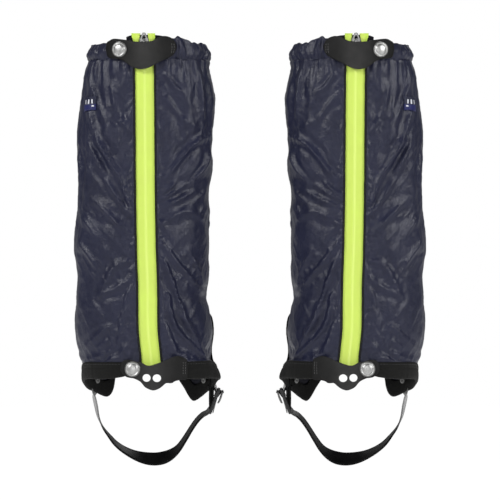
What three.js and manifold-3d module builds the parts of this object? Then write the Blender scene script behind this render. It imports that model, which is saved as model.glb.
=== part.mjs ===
// A pair of front-zip gaiters, standing upright as they are worn. Millimetres, +Z up, the front faces -Y.
// The frame's origin is on the left gaiter's leg axis, at the level of the front of its lower hem.
// Each gaiter is a tube of two fabric panels, with a zip down the front, a gathered top hem, a bound
// lower hem, two snap tabs, and a strap that passes under the boot. The right gaiter mirrors the left.
import * as THREE from "three";
import { mergeVertices } from "three/addons/utils/BufferGeometryUtils.js";
import Module from "manifold-3d";

// ---------------------------------------------------------------- driving dimensions
const GAP = 0.3; // between touching pieces
const MIRROR_X = 122.72; // plane between the two gaiters
const PANEL_T = 1.2; // shell fabric with its lining
const SHELL_TOP = 373.7; // where the shell meets the gathered hem
const HEM_TOP = 392; // top edge of the gathered hem
const ZIP_HALF = 11.3; // half of the tape's width between the panel edges
const TAPE_HALF = 15; // half of the whole tape's width
const TAPE_T = 0.8;
const TAPE_TOP = 403;
const COIL_W = 1.8;
const COIL_T = 1.6;
const FRONT_TOP = 50; // depth of the zip line in front of the leg axis, top
const FRONT_BOTTOM = 62; // and at the lower hem
const TAB_T = 1.8;
const SNAP_LIFT = 4.4; // from the face that a snap stands on to the tab's underside
const STRAP_W = 20;
const STRAP_T = 1.8;
const SWING = { y: 32, z: -18 }; // the line that the under-foot strap swings about
const ANCHOR_S = 152; // the strap rivets' distance from the zip line, along the hem
const RIVET_Z = -7;
const BUCKLE = { x: 80.5, z: -31, lean: [0.3, 0.954], w: 27, h: 25, bar: 2.4 };

// ---------------------------------------------------------------- small helpers
const wasm = await Module();
wasm.setup();

// Cubic through [position, value] keys, level beyond the ends.
function keyed(keys) {
  const slope = keys.map((_, i) => {
    const a = keys[Math.max(0, i - 1)],
      b = keys[Math.min(keys.length - 1, i + 1)];
    return (b[1] - a[1]) / (b[0] - a[0]);
  });
  return (x) => {
    if (x <= keys[0][0]) return keys[0][1];
    for (let i = 1; i < keys.length; i++) {
      if (x > keys[i][0]) continue;
      const [x0, y0] = keys[i - 1],
        [x1, y1] = keys[i],
        h = x1 - x0,
        t = (x - x0) / h;
      return (
        y0 * (1 + 2 * t) * (1 - t) ** 2 +
        y1 * t * t * (3 - 2 * t) +
        h * (slope[i - 1] * t * (1 - t) ** 2 + slope[i] * t * t * (t - 1))
      );
    }
    return keys[keys.length - 1][1];
  };
}
const lerp = (a, b, t) => a + (b - a) * t;
const smooth = (a, b, x) => {
  const t = Math.min(1, Math.max(0, (x - a) / (b - a)));
  return t * t * (3 - 2 * t);
};

// Faces turned outwards, whichever way the vertices were moved.
function outward(g) {
  const m = g.index ? g.toNonIndexed() : g,
    p = m.attributes.position.array;
  let v = 0;
  for (let i = 0; i < p.length; i += 9)
    v +=
      p[i] * (p[i + 4] * p[i + 8] - p[i + 5] * p[i + 7]) +
      p[i + 1] * (p[i + 5] * p[i + 6] - p[i + 3] * p[i + 8]) +
      p[i + 2] * (p[i + 3] * p[i + 7] - p[i + 4] * p[i + 6]);
  if (v < 0)
    for (let i = 0; i < p.length; i += 9)
      for (let k = 0; k < 3; k++) {
        const q = p[i + 3 + k];
        p[i + 3 + k] = p[i + 6 + k];
        p[i + 6 + k] = q;
      }
  const clean = new THREE.BufferGeometry();
  clean.setAttribute("position", new THREE.BufferAttribute(p, 3));
  const merged = mergeVertices(clean, 1e-4);
  merged.computeVertexNormals();
  return merged;
}
function moved(g, map) {
  const p = g.attributes.position;
  for (let i = 0; i < p.count; i++)
    p.setXYZ(i, ...map(p.getX(i), p.getY(i), p.getZ(i)));
  g.deleteAttribute("normal");
  g.deleteAttribute("uv");
  return outward(g);
}
// A box cut into nu x nv x nw, with its u, v, w (0 to 1) sent through map.
const bentBox = (nu, nv, nw, map) =>
  moved(new THREE.BoxGeometry(1, 1, 1, nu, nv, nw), (x, y, z) =>
    map(x + 0.5, y + 0.5, z + 0.5),
  );
function solid(g) {
  const c = (g.index ? g.toNonIndexed() : g.clone());
  c.deleteAttribute("normal");
  c.deleteAttribute("uv");
  const m = mergeVertices(c, 1e-4);
  return new wasm.Manifold(
    new wasm.Mesh({
      numProp: 3,
      vertProperties: new Float32Array(m.attributes.position.array),
      triVerts: new Uint32Array(m.index.array),
    }),
  );
}
function geometry(s) {
  const m = s.getMesh(),
    g = new THREE.BufferGeometry();
  g.setAttribute("position", new THREE.BufferAttribute(new Float32Array(m.vertProperties), 3));
  g.setIndex(new THREE.BufferAttribute(new Uint32Array(m.triVerts), 1));
  g.computeVertexNormals();
  return g;
}
const cut = (a, ...bs) => geometry(bs.reduce((s, b) => s.subtract(solid(b)), solid(a)));
const common = (a, b) => geometry(solid(a).intersect(solid(b)));

// A round hole as a closed path of straight edges.
const circle = (x, y, r, n) =>
  new THREE.Path(
    Array.from({ length: n }, (_, i) => {
      const a = (-2 * Math.PI * i) / n;
      return new THREE.Vector2(x + r * Math.cos(a), y + r * Math.sin(a));
    }),
  );

// ---------------------------------------------------------------- the shell's surface
const sideLeft = keyed([
  [-110, -70], [-30, -72], [0, -75], [21, -77], [50, -81], [85, -82.2], [156, -82.5], [220, -81.6],
  [276, -81], [305, -80], [333, -76.7], [347, -75], [361, -70.8], [375, -67.5], [392, -66.5], [420, -66.5],
]);
const sideRight = keyed([
  [-110, 79], [-30, 80.5], [0, 82.5], [21, 79], [50, 77], [85, 73.5], [156, 73.2], [220, 73.8],
  [276, 77.4], [305, 79.4], [333, 79.8], [347, 77.9], [361, 74.5], [375, 73.3], [392, 71.5], [420, 71.5],
]);
const frontDepth = (z) => FRONT_BOTTOM - ((FRONT_BOTTOM - FRONT_TOP) * z) / 396;
const zipX = (z) => 4.793 - 0.0165 * z; // the zip line leans a little
const AROUND = 16; // columns from the zip edge to the back seam
const SHAPE = 2.3; // exponent of the section's rounded-box outline
const sections = new Map();
// The outline at height z as a polyline that starts on the zip line and runs towards +X.
function section(z) {
  const key = Math.round(z * 50) / 50;
  if (sections.has(key)) return sections.get(key);
  const l = sideLeft(key),
    r = sideRight(key),
    cx = (l + r) / 2,
    a = (r - l) / 2,
    b = frontDepth(key),
    zx = zipX(key),
    n = 480,
    pts = [];
  const at = (th) => {
    const c = Math.cos(th),
      s = Math.sin(th);
    const x = cx + a * Math.sign(c) * Math.abs(c) ** (2 / SHAPE);
    let y = b * Math.sign(s) * Math.abs(s) ** (2 / SHAPE);
    if (y < 0) y = lerp(-b, y, smooth(16, 42, Math.abs(x - zx)));
    return [x, y];
  };
  for (let i = 0; i < n; i++) pts.push(at(-Math.PI / 2 + (2 * Math.PI * i) / n));
  // turn the list so that it starts at the zip line
  let k = 0;
  for (let i = 0; i < n; i++)
    if (pts[i][1] < 0 && Math.abs(pts[i][0] - zx) < Math.abs(pts[k][0] - zx)) k = i;
  const list = [[zx, -b]];
  for (let i = 0; i < n; i++) {
    const q = pts[(k + i) % n];
    if (i < 12 ? q[0] > zx + 0.4 : i > n - 12 ? q[0] < zx - 0.4 : true) list.push(q);
  }
  list.push([zx, -b]);
  const along = [0];
  for (let i = 1; i < list.length; i++)
    along.push(along[i - 1] + Math.hypot(list[i][0] - list[i - 1][0], list[i][1] - list[i - 1][1]));
  const out = { list, along, length: along[along.length - 1] };
  sections.set(key, out);
  return out;
}
const halfRound = (z) => section(z).length / 2;
// The point a distance s along the outline from the zip line at height z, and out along the outline's normal.
function P(s, z, out = 0) {
  const { list, along, length } = section(z);
  const find = (q) => {
    q = ((q % length) + length) % length;
    let lo = 0,
      hi = along.length - 1;
    while (hi - lo > 1) {
      const mid = (lo + hi) >> 1;
      if (along[mid] <= q) lo = mid;
      else hi = mid;
    }
    const t = (q - along[lo]) / (along[hi] - along[lo]);
    return [lerp(list[lo][0], list[hi][0], t), lerp(list[lo][1], list[hi][1], t)];
  };
  const p = find(s),
    a = find(s - 2),
    b = find(s + 2),
    d = Math.hypot(b[0] - a[0], b[1] - a[1]);
  return [p[0] + ((b[1] - a[1]) / d) * out, p[1] - ((b[0] - a[0]) / d) * out, z];
}
function normalAt(s, z) {
  const a = P(s, z, 0),
    b = P(s, z, 1);
  return new THREE.Vector3(b[0] - a[0], b[1] - a[1], 0).normalize();
}
// Moves a piece made round the origin, its own +Z outwards and +Y up, to a place on the shell.
function placed(g, s, z, out) {
  const n = normalAt(s, z),
    up = new THREE.Vector3(0, 0, 1),
    side = new THREE.Vector3().crossVectors(up, n);
  const m = new THREE.Matrix4().makeBasis(side, up, n);
  m.setPosition(...P(s, z, out));
  const c = g.clone();
  c.applyMatrix4(m);
  return outward(c);
}
const lathe = (pts, segs = 12) =>
  outward(
    new THREE.LatheGeometry(
      pts.map(([r, h]) => new THREE.Vector2(r, h)),
      segs,
    ).rotateX(Math.PI / 2),
  );
const pin = (r, lo, hi) => lathe([[0, lo], [r, lo], [r, hi], [0, hi]], 10);

// ---------------------------------------------------------------- the lower hem's edges, by share of the half round
const hemLow = keyed([
  [0, 7], [0.08, 7], [0.15, 1.5], [0.26, -0.5], [0.39, -1.5], [0.5, -4], [0.59, -10], [0.67, -17.5],
  [0.745, -23.5], [0.79, -20], [0.85, -3], [0.91, 7], [1, 12],
]);
const hemHigh = keyed([
  [0, 17], [0.08, 17], [0.26, 16.5], [0.39, 15.5], [0.5, 13], [0.59, 7], [0.67, 0], [0.745, -6],
  [0.79, -2], [0.85, 14], [0.91, 24], [1, 29],
]);
const HALF0 = halfRound(0);
// A signed distance from the zip line: t from 0 to 1 runs from the +X zip edge round the back to the -X one.
const roundS = (t, z, start) => {
  const h = halfRound(z);
  return start + t * (2 * h - 2 * start);
};
// The same for a sweep in steps: the first step ends where the flat front does, and the others are even.
const FLAT_HALF = 16.5;
const halfS = (k, n, end) => (k === 0 ? ZIP_HALF : lerp(FLAT_HALF, end, (k - 1) / (n - 1)));
const steppedS = (t, z, n, start = ZIP_HALF) => {
  const k = Math.round(t * n),
    h = halfRound(z);
  const s = (i) => (i === 0 ? start : halfS(i, n / 2, h));
  return k <= n / 2 ? s(k) : 2 * h - s(n - k);
};
const share = (s, z) => {
  const h = halfRound(z);
  return (s <= h ? s : 2 * h - s) / h;
};

// ---------------------------------------------------------------- pieces of one gaiter
function gaiter() {
  const out = {};
  const fabric = { color: 0x2c2e42, roughness: 0.45, metalness: 0 },
    black = { color: 0x26262a, roughness: 0.7, metalness: 0 },
    pu = { color: 0x3e3e42, roughness: 0.55, metalness: 0 },
    strapped = { color: 0x1c1c1e, roughness: 0.5, metalness: 0 },
    neon = { color: 0xc8f050, roughness: 0.8, metalness: 0 },
    silver = { color: 0xc8c8cc, roughness: 0.25, metalness: 1 };
  const add = (name, geometry, look) => (out[name] = { geometry, look });

  // rivet holes through the lower hem and the shell
  const hole = (side) => placed(pin(2.1, -9, 9), side * ANCHOR_S, RIVET_Z, 0);

  // shell panels, from the zip edge round to the back seam
  const panel = (side) =>
    bentBox(AROUND, 7, 1, (u, v, w) => {
      const row = [0, 0.04, 0.14, 0.32, 0.55, 0.78, 0.9, 1][Math.round(v * 7)];
      const k = Math.round(u * AROUND);
      let s = halfS(k, AROUND, HALF0 - 0.2);
      const low = hemLow(s / HALF0),
        z = lerp(low, SHELL_TOP, row);
      s = halfS(k, AROUND, halfRound(z) - 0.2);
      return P(side * s, z, -PANEL_T * (1 - w) * (1 - 0.15 * (row < 0.1)));
    });
  add("shell_outer_panel", cut(panel(-1), hole(-1)), fabric);
  add("shell_inner_panel", cut(panel(1), hole(1)), fabric);

  // a shape in (out, up) swept round the leg from one zip edge to the other
  const sweep = (outline, steps, map, holes = []) => {
    const shape = new THREE.Shape(outline.map(([x, y]) => new THREE.Vector2(x, y)));
    for (const h of holes) shape.holes.push(new THREE.Path(h.map(([x, y]) => new THREE.Vector2(x, y))));
    return moved(
      new THREE.ExtrudeGeometry(shape, { steps, depth: 1, bevelEnabled: false }),
      (x, y, z) => map(x, y, z),
    );
  };
  // gathered top hem: a tunnel that is open below on its inner side, round the elastic
  add(
    "top_hem_casing",
    sweep(
      [[0, 0], [0, 1], [-6, 1], [-6, 0], [-5, 0], [-5, 0.93], [-1.2, 0.93], [-1.2, 0]],
      28,
      (o, h, t) => {
        const z = lerp(SHELL_TOP + GAP, HEM_TOP, h);
        return P(steppedS(t, z, 28, TAPE_HALF + 0.5), z, o);
      },
    ),
    fabric,
  );
  add(
    "top_elastic",
    bentBox(28, 1, 1, (u, v, w) => {
      const z = lerp(376, 389, v);
      return P(roundS(u, z, 17), z, -4.1 + 2 * w);
    }),
    { color: 0x202024, roughness: 0.9, metalness: 0 },
  );
  // bound lower hem: a U round the shell's lower edge
  add(
    "bottom_hem_band",
    cut(
      sweep(
        [[1.3, -1.5], [1.3, 1], [0.3, 1], [0.3, -0.5], [-2.6, -0.5], [-2.6, 0.9], [-3.6, 0.9], [-3.6, -1.5]],
        2 * AROUND,
        (o, h, t) => {
          const s0 = steppedS(t, 0, 2 * AROUND),
            f = share(s0, 0),
            low = hemLow(f),
            high = hemHigh(f);
          const z = h < 0 ? low + h : lerp(low, high, h);
          return P(steppedS(t, z, 2 * AROUND), z, o);
        },
      ),
      hole(-1),
      hole(1),
    ),
    black,
  );

  // zip: two tapes and two coil halves on the tapes' backs, with a narrow way between them for the slider's web
  const strip = (x0, x1, o0, o1, z0, z1) =>
    bentBox(1, 1, 1, (u, v, w) => {
      const z = lerp(z0, z1, v);
      return [zipX(z) + lerp(x0, x1, u), -frontDepth(z) - lerp(o0, o1, w), z];
    });
  const TAPE_OUT = -PANEL_T - GAP,
    TAPE_IN = TAPE_OUT - TAPE_T,
    COIL_OUT = TAPE_IN - GAP,
    COIL_IN = COIL_OUT - COIL_T;
  add("zip_tape_l", strip(-TAPE_HALF, -0.6, TAPE_IN, TAPE_OUT, 10, TAPE_TOP), neon);
  add("zip_tape_r", strip(0.6, TAPE_HALF, TAPE_IN, TAPE_OUT, 10, TAPE_TOP), neon);
  add("zip_coil_l", strip(-0.6 - COIL_W, -0.6, COIL_IN, COIL_OUT, 14, 397), neon);
  add("zip_coil_r", strip(0.6, 0.6 + COIL_W, COIL_IN, COIL_OUT, 14, 397), neon);

  // slider: two plates joined by a thin web, side flanges inside, and a bail that holds the pull
  const SL = { z0: 386, z1: 398, half: 5.2 };
  const inTop = TAPE_OUT + GAP, // underside of the outer plate
    slab = (x0, x1, o0, o1, z0, z1) => {
      const s = strip(x0, x1, o0, o1, z0, z1);
      return s;
    };
  const plateShape = (o0, o1) => {
    // the plate is wide at its upper end
    const shape = new THREE.Shape(
      [[-3.6, 0], [3.6, 0], [4.2, 4.5], [SL.half, 7.5], [SL.half, 10.6], [3.6, 12], [-3.6, 12], [-SL.half, 10.6], [-SL.half, 7.5], [-4.2, 4.5]].map(
        ([x, y]) => new THREE.Vector2(x, y),
      ),
    );
    return moved(
      new THREE.ExtrudeGeometry(shape, { depth: 1, bevelEnabled: false }),
      (x, y, w) => {
        const z = SL.z0 + y;
        return [zipX(z) + x, -frontDepth(z) - lerp(o0, o1, w), z];
      },
    );
  };
  const bodyParts = [
    plateShape(inTop, inTop + 1.5),
    plateShape(COIL_IN - GAP - 1.4, COIL_IN - GAP),
    slab(-0.3, 0.3, COIL_IN - GAP - 0.7, inTop + 0.7, SL.z1 - 4, SL.z1 - 0.4),
    // inner flanges beside the coils
    slab(-3.5, -2.75, COIL_IN - GAP - 0.7, COIL_OUT - 0.05, SL.z0 + 0.6, SL.z0 + 6),
    slab(2.75, 3.5, COIL_IN - GAP - 0.7, COIL_OUT - 0.05, SL.z0 + 0.6, SL.z0 + 6),
    // bail: an arch along the zip, over the bar of the pull's eye
    slab(-0.9, 0.9, inTop + 1.0, inTop + 4.3, SL.z0 + 3.4, SL.z0 + 4.6),
    slab(-0.9, 0.9, inTop + 1.0, inTop + 4.3, SL.z0 + 9.4, SL.z0 + 10.5),
    slab(-0.9, 0.9, inTop + 3.4, inTop + 4.3, SL.z0 + 3.4, SL.z0 + 10.5),
  ];
  add(
    "zip_slider",
    geometry(bodyParts.slice(1).reduce((s, g) => s.add(solid(g)), solid(bodyParts[0]))),
    silver,
  );
  // pull: a short tongue whose eye hangs on the bail; it points up when the zip is closed
  const PULL = { z: SL.z0 + 8.1, o: inTop + 2.3, t: 1 };
  const pullShape = new THREE.Shape(
    [[-2.6, -0.5], [2.6, -0.5], [2.6, 5], [3.1, 6], [3.1, 8.4], [1.9, 9.8], [-1.9, 9.8], [-3.1, 8.4], [-3.1, 6], [-2.6, 5]].map(
      ([x, y]) => new THREE.Vector2(x, y),
    ),
  );
  pullShape.holes.push(
    new THREE.Path([[-1.5, 0.5], [-1.5, 5], [1.5, 5], [1.5, 0.5]].map(([x, y]) => new THREE.Vector2(x, y))),
  );
  add(
    "zip_pull",
    moved(
      new THREE.ExtrudeGeometry(pullShape, { depth: PULL.t, bevelEnabled: false }),
      (x, y, w) => {
        const z = PULL.z + y;
        return [zipX(PULL.z) + x, -frontDepth(PULL.z) - (PULL.o - PULL.t / 2 + w), z];
      },
    ),
    silver,
  );

  // tabs: a plate bent round the front, cut to the tab's outline as seen from the front
  const bentPlate = (s0, s1, z0, z1, o0, o1, nu, nv) =>
    bentBox(nu, nv, 1, (u, v, w) => P(lerp(s0, s1, u), lerp(z0, z1, v), lerp(o0, o1, w)));
  const prism = (pts) => {
    const shape = new THREE.Shape(pts.map(([x, z]) => new THREE.Vector2(x, z)));
    const g = new THREE.ExtrudeGeometry(shape, { depth: 60, bevelEnabled: false, curveSegments: 5 });
    // the shape's x, y become X, Z, and it is extruded along Y in front of the leg
    return moved(g, (x, y, w) => [x, -90 + w, y]);
  };
  const through = (x, z, r) =>
    moved(new THREE.CylinderGeometry(r, r, 60, 12), (px, py, pz) => [x + px, -60 + py, z + pz]);
  const topTab = [
    [-46.6, 384.3], [-45.7, 371.7 + 20.5], [-42.6, 394.6], [-37.9, 396.6], [-31, 396.2], [-20.2, 394.6],
    [-12.7, 393.2], [-1.9, 392.8], [7.5, 393.9], [14.3, 397.5], [21.1, 399.7], [27.3, 399], [32.6, 395.9],
    [36.7, 389.2], [36, 383], [32.6, 377.6], [27.8, 374.2], [21.1, 370.9], [11.6, 366.4], [7.5, 364], [0.8, 361.3],
    [-6, 360.6], [-11.4, 361.7], [-16.9, 364], [-22.3, 368.2], [-27.6, 371.5], [-33.7, 372.9], [-39.9, 373.6], [-44.6, 375.6],
  ];
  const snapTop = { s: -31, z: 384.3 };
  const post = (snap, low, high) => placed(pin(2, -4, 4), snap.s, snap.z, (low + high) / 2);
  add(
    "top_tab",
    cut(
      common(
        bentPlate(-52, 42, 355, 405, SNAP_LIFT, SNAP_LIFT + TAB_T, 12, 3),
        prism(topTab),
      ),
      post(snapTop, SNAP_LIFT, SNAP_LIFT + TAB_T),
    ),
    pu,
  );
  // flap behind the zip's top, which shields the slider from the leg
  add("top_tab_backing", bentPlate(-22, 36, 364, 401.5, -8.9, -7.5, 8, 1), black);

  const cap = lathe([[0, -2.6], [1.6, -2.6], [1.6, 0], [8.2, 0], [8.2, 0.5], [7.2, 1.6], [4.6, 2.4], [0, 2.7]]);
  const socket = lathe([[3, 0], [6.2, 0], [6.2, 2], [3, 2], [3, 0]]);
  const stud = lathe([[0, 0], [6, 0], [6, 1], [2.2, 1], [2.2, 2.7], [0, 2.7]]);
  const snap = (name, at, base) => {
    add(name + "_snap_stud", placed(stud, at.s, at.z, base + GAP), silver);
    add(name + "_snap_socket", placed(socket, at.s, at.z, base + 1.6), silver);
    add(name + "_snap_cap", placed(cap, at.s, at.z, base + SNAP_LIFT + TAB_T + GAP), silver);
  };
  snap("top", snapTop, 0);

  const bottomTab = [
    [-28.5, 8], [-27.1, 17.2], [-22.9, 20.2], [-15.6, 20.2], [-10.9, 18.4], [-4.2, 17.2], [0.6, 14.5], [5.4, 13.6],
    [11.4, 15.1], [17.5, 17.2], [22.3, 19], [28.3, 22.1], [33, 23.8], [37.4, 24.8], [41.5, 23.8], [47, 21.4],
    [49.2, 18], [49.2, -1.5], [41.5, -3.3], [38, -4.1], [34.3, -5.1], [32.6, -6.6], [29.5, -7.2], [24.7, -7], [20.5, -10.5], [16.3, -13.5],
    [11.4, -15.3], [7.9, -15.3], [3.1, -13.5], [-0.6, -11.1], [-3.5, -7.4], [-6.6, -4.5], [-13.2, -1.4], [-17.5, -0.8], [-22.9, 1],
  ];
  const snapBottom = { s: -22.0, z: 9.4 };
  const HEM_OUT = 1.3;
  add(
    "bottom_tab",
    cut(
      common(
        bentPlate(-40, 60, -20, 30, HEM_OUT + SNAP_LIFT, HEM_OUT + SNAP_LIFT + TAB_T, 12, 1),
        prism(bottomTab),
      ),
      through(1.9, -0.8, 4.7),
      through(13.9, -1.1, 4.7),
      post(snapBottom, HEM_OUT + SNAP_LIFT, HEM_OUT + SNAP_LIFT + TAB_T),
    ),
    pu,
  );
  snap("bottom", snapBottom, HEM_OUT);

  // the strap's riveted end, and the short strap that holds the buckle: both lie on the lower hem
  const onHem = (side, o) =>
    bentBox(4, 3, 1, (u, v, w) => P(side * (ANCHOR_S + (u - 0.5) * STRAP_W), lerp(-17, 4, v), o + STRAP_T * w));
  add("strap_end", cut(onHem(-1, HEM_OUT + GAP), hole(-1)), strapped);
  add("buckle_strap", cut(onHem(1, HEM_OUT + GAP), hole(1)), strapped);
  const rivet = lathe([[0, -6.2], [4.2, -6.2], [4.2, -5.2], [1.6, -5.2], [1.6, 3.8], [4.8, 3.8], [4.8, 4.4], [3.2, 5.1], [0, 5.3]], 12);
  add("strap_rivet", placed(rivet, -ANCHOR_S, RIVET_Z, 0), silver);
  add("buckle_strap_rivet", placed(rivet, ANCHOR_S, RIVET_Z, 0), silver);

  // the strap's free tail, up the side of the shell and through its keeper
  const tailS = keyed([[-16.5, 152], [0, 150], [30, 136], [50, 129], [72, 124]]);
  const tailO = keyed([[-16.5, 9.4], [-10, 7], [-4, 6], [4, 5.8], [14, 3.6], [25, 1.6], [34, 1.4], [72, 1.4]]);
  add(
    "strap_tail",
    bentBox(2, 16, 1, (u, v, w) => {
      const z = lerp(-16.5, 72, v);
      return P(tailS(z) + (u - 0.5) * (STRAP_W - 2), z, tailO(z) + 1.6 * w);
    }),
    strapped,
  );
  const ring = [[-11, 0.3], [11, 0.3], [11, 4.1], [-11, 4.1]],
    slot = [[-9.8, 1.1], [9.8, 1.1], [9.8, 3.3], [-9.8, 3.3]];
  const KEEPER = { z0: 47, z1: 56.5 };
  add(
    "strap_keeper",
    (() => {
      // two layers of the loop, cut finely across the curve: an outer bent box less an inner one
      const box = (x0, x1, o0, o1, z0, z1) =>
        bentBox(6, 1, 1, (u, v, w) => {
          const z = lerp(z0, z1, v);
          return P(tailS(z) + lerp(x0, x1, u), z, lerp(o0, o1, w));
        });
      return cut(
        box(ring[0][0], ring[1][0], ring[0][1], ring[2][1], KEEPER.z0, KEEPER.z1),
        box(slot[0][0], slot[1][0], slot[0][1], slot[2][1], KEEPER.z0 - 1, KEEPER.z1 + 1),
      );
    })(),
    black,
  );

  // the loop under the foot: a flat strap along a curve that lies below the swing line
  const route = new THREE.CatmullRomCurve3(
    [
      [-65.0, -23.5], [-61.6, -36], [-57, -49], [-51, -60.4], [-44.6, -69.4], [-37.8, -77.3], [-28.3, -85.1],
      [-17.5, -91.2], [-6.6, -95.3], [4, -97.6], [14, -97.6], [24, -95.2], [32, -90.8], [39, -84.3], [46, -74.2],
      [53, -63], [60, -52.8], [66.5, -46], [72, -42.6], [74.6, -39.2], [77.4, -35], [80.5, -31], [83.0, -27], [84.7, -24.4],
    ].map(([x, z]) => new THREE.Vector3(x, 0, z)),
    false,
    "centripetal",
  );
  const tilt = keyed([[0, -11], [0.08, -11], [0.18, -1], [0.28, 10], [0.38, 23], [0.47, 42], [0.51, 46], [0.56, 44], [0.65, 21], [0.74, 14], [0.83, 12], [0.88, 3], [0.92, 0], [1, 0]]);
  const strapLoop = bentBox(1, 36, 1, (u, v, w) => {
    const c = route.getPointAt(v),
      t = route.getTangentAt(v),
      inward = new THREE.Vector3(-t.z, 0, t.x); // towards the loop's middle
    const b = (tilt(v) * Math.PI) / 180,
      across = new THREE.Vector3(0, Math.cos(b), 0).addScaledVector(inward, Math.sin(b)),
      face = new THREE.Vector3().crossVectors(t, across);
    const p = c
      .clone()
      .addScaledVector(across, (u - 0.5) * STRAP_W)
      .addScaledVector(face, (w - 0.5) * STRAP_T);
    return [p.x, p.y + SWING.y, p.z];
  });
  // buckle frame: a ring that leans outwards at its top; its own x is along Y
  const lean = new THREE.Vector3(BUCKLE.lean[0], 0, BUCKLE.lean[1]).normalize(),
    across = new THREE.Vector3(0, 1, 0),
    face = new THREE.Vector3().crossVectors(across, lean);
  const inBuckle = (g) => {
    const m = new THREE.Matrix4().makeBasis(across, lean, face);
    m.setPosition(BUCKLE.x, SWING.y, BUCKLE.z);
    const c = g.clone();
    c.applyMatrix4(m);
    return outward(c);
  };
  const rounded = (w, h, r, Kind = THREE.Shape) => {
    const pts = [];
    for (let q = 0; q < 4; q++)
      for (let i = 0; i < 4; i++) {
        const a = (q + i / 3) * (Math.PI / 2),
          sx = q === 0 || q === 3 ? 1 : -1,
          sy = q < 2 ? 1 : -1;
        pts.push(new THREE.Vector2(sx * (w / 2 - r) + r * Math.cos(a), sy * (h / 2 - r) + r * Math.sin(a)));
      }
    return new Kind(pts);
  };
  const frameShape = rounded(BUCKLE.w, BUCKLE.h, 3);
  frameShape.holes.push(rounded(BUCKLE.w - 2 * BUCKLE.bar - 1, BUCKLE.h - 2 * BUCKLE.bar, 1, THREE.Path));
  add(
    "buckle_frame",
    inBuckle(
      new THREE.ExtrudeGeometry(frameShape, { depth: BUCKLE.bar, bevelEnabled: false, curveSegments: 3 }).translate(
        0,
        0,
        -BUCKLE.bar / 2,
      ),
    ),
    silver,
  );
  // prong: from just inside the upper bar to rest on the lower bar's outer side
  const prongBox = (grow, up) =>
    moved(new THREE.BoxGeometry(1, 1, 1), (x, y, z) => {
      const e = y > 0 ? 8.7 + up : -13.0 - grow,
        n = y > 0 ? 0 - (up ? 0.5 : 0) : 2.55;
      return [x * (2 + 2 * grow), e, n + z * (1.8 + 2 * grow)];
    });
  add("buckle_prong", inBuckle(prongBox(0, 0)), silver);
  // the strap's slot leaves room for the prong as it lifts about the upper bar
  const barAt = BUCKLE.h / 2 - BUCKLE.bar / 2;
  const lifted = (deg) => {
    const g = prongBox(deg ? 0.4 : 0.6, deg ? 0.6 : 3).clone();
    g.translate(0, -barAt, 0).rotateX((-deg * Math.PI) / 180).translate(0, barAt, 0);
    return inBuckle(g);
  };
  add("foot_strap", cut(strapLoop, ...[0, 8, 16, 24, 32, 40, 50].map(lifted)), strapped);

  // woven label on the outer side
  add(
    "label",
    bentBox(4, 1, 1, (u, v, w) => P(lerp(-91, -72.5, u), lerp(314, 330.5, v), 0.3 + 0.5 * w)),
    { color: 0x1f2440, roughness: 0.7, metalness: 0 },
  );
  return out;
}

// ---------------------------------------------------------------- the pair
const pair = new THREE.Group();
pair.name = "gaiters";
const one = gaiter();
for (const [name, { geometry: g, look }] of Object.entries(one)) {
  const left = new THREE.Mesh(g, new THREE.MeshStandardMaterial(look));
  left.name = "left_" + name;
  pair.add(left);
  const flipped = g.clone();
  flipped.applyMatrix4(new THREE.Matrix4().makeScale(-1, 1, 1));
  flipped.translate(2 * MIRROR_X, 0, 0);
  const right = new THREE.Mesh(outward(flipped), new THREE.MeshStandardMaterial(look));
  right.name = "right_" + name;
  pair.add(right);
}

export default pair;
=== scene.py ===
# A pair of front-zip gaiters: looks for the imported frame. Millimetres in the helpers, metres in Blender.
import math

import bmesh
import bpy
import numpy as np
from mathutils import Matrix, Vector
from mathutils.geometry import delaunay_2d_cdt


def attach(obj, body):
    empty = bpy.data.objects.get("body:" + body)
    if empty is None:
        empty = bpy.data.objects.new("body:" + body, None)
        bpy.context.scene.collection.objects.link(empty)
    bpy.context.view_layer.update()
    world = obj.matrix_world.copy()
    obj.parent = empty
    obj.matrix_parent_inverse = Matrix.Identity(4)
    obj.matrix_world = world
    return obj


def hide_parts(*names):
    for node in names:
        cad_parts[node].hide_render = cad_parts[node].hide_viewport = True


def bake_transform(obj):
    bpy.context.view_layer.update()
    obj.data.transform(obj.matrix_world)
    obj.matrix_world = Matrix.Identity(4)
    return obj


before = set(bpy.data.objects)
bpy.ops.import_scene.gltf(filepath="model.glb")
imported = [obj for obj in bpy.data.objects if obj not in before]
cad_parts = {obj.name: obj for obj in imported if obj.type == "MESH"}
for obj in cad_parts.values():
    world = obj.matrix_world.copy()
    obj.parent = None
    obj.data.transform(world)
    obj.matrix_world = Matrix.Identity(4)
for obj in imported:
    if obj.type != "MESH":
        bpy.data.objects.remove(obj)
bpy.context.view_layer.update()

MM = 0.001
MIRROR = 2 * 122.72  # right gaiter X = MIRROR - left gaiter X
SCENE = bpy.context.scene

# ------------------------------------------------------------------ camera
cam_data = bpy.data.cameras.new("camera")
cam_data.sensor_width = 36
cam_data.lens = 244.1
cam_data.clip_end = 50
camera = bpy.data.objects.new("camera", cam_data)
camera.location = (0.12272, -4.03, 0.14868)
camera.rotation_euler = (math.radians(90), 0, 0)
SCENE.collection.objects.link(camera)
SCENE.camera = camera


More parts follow.
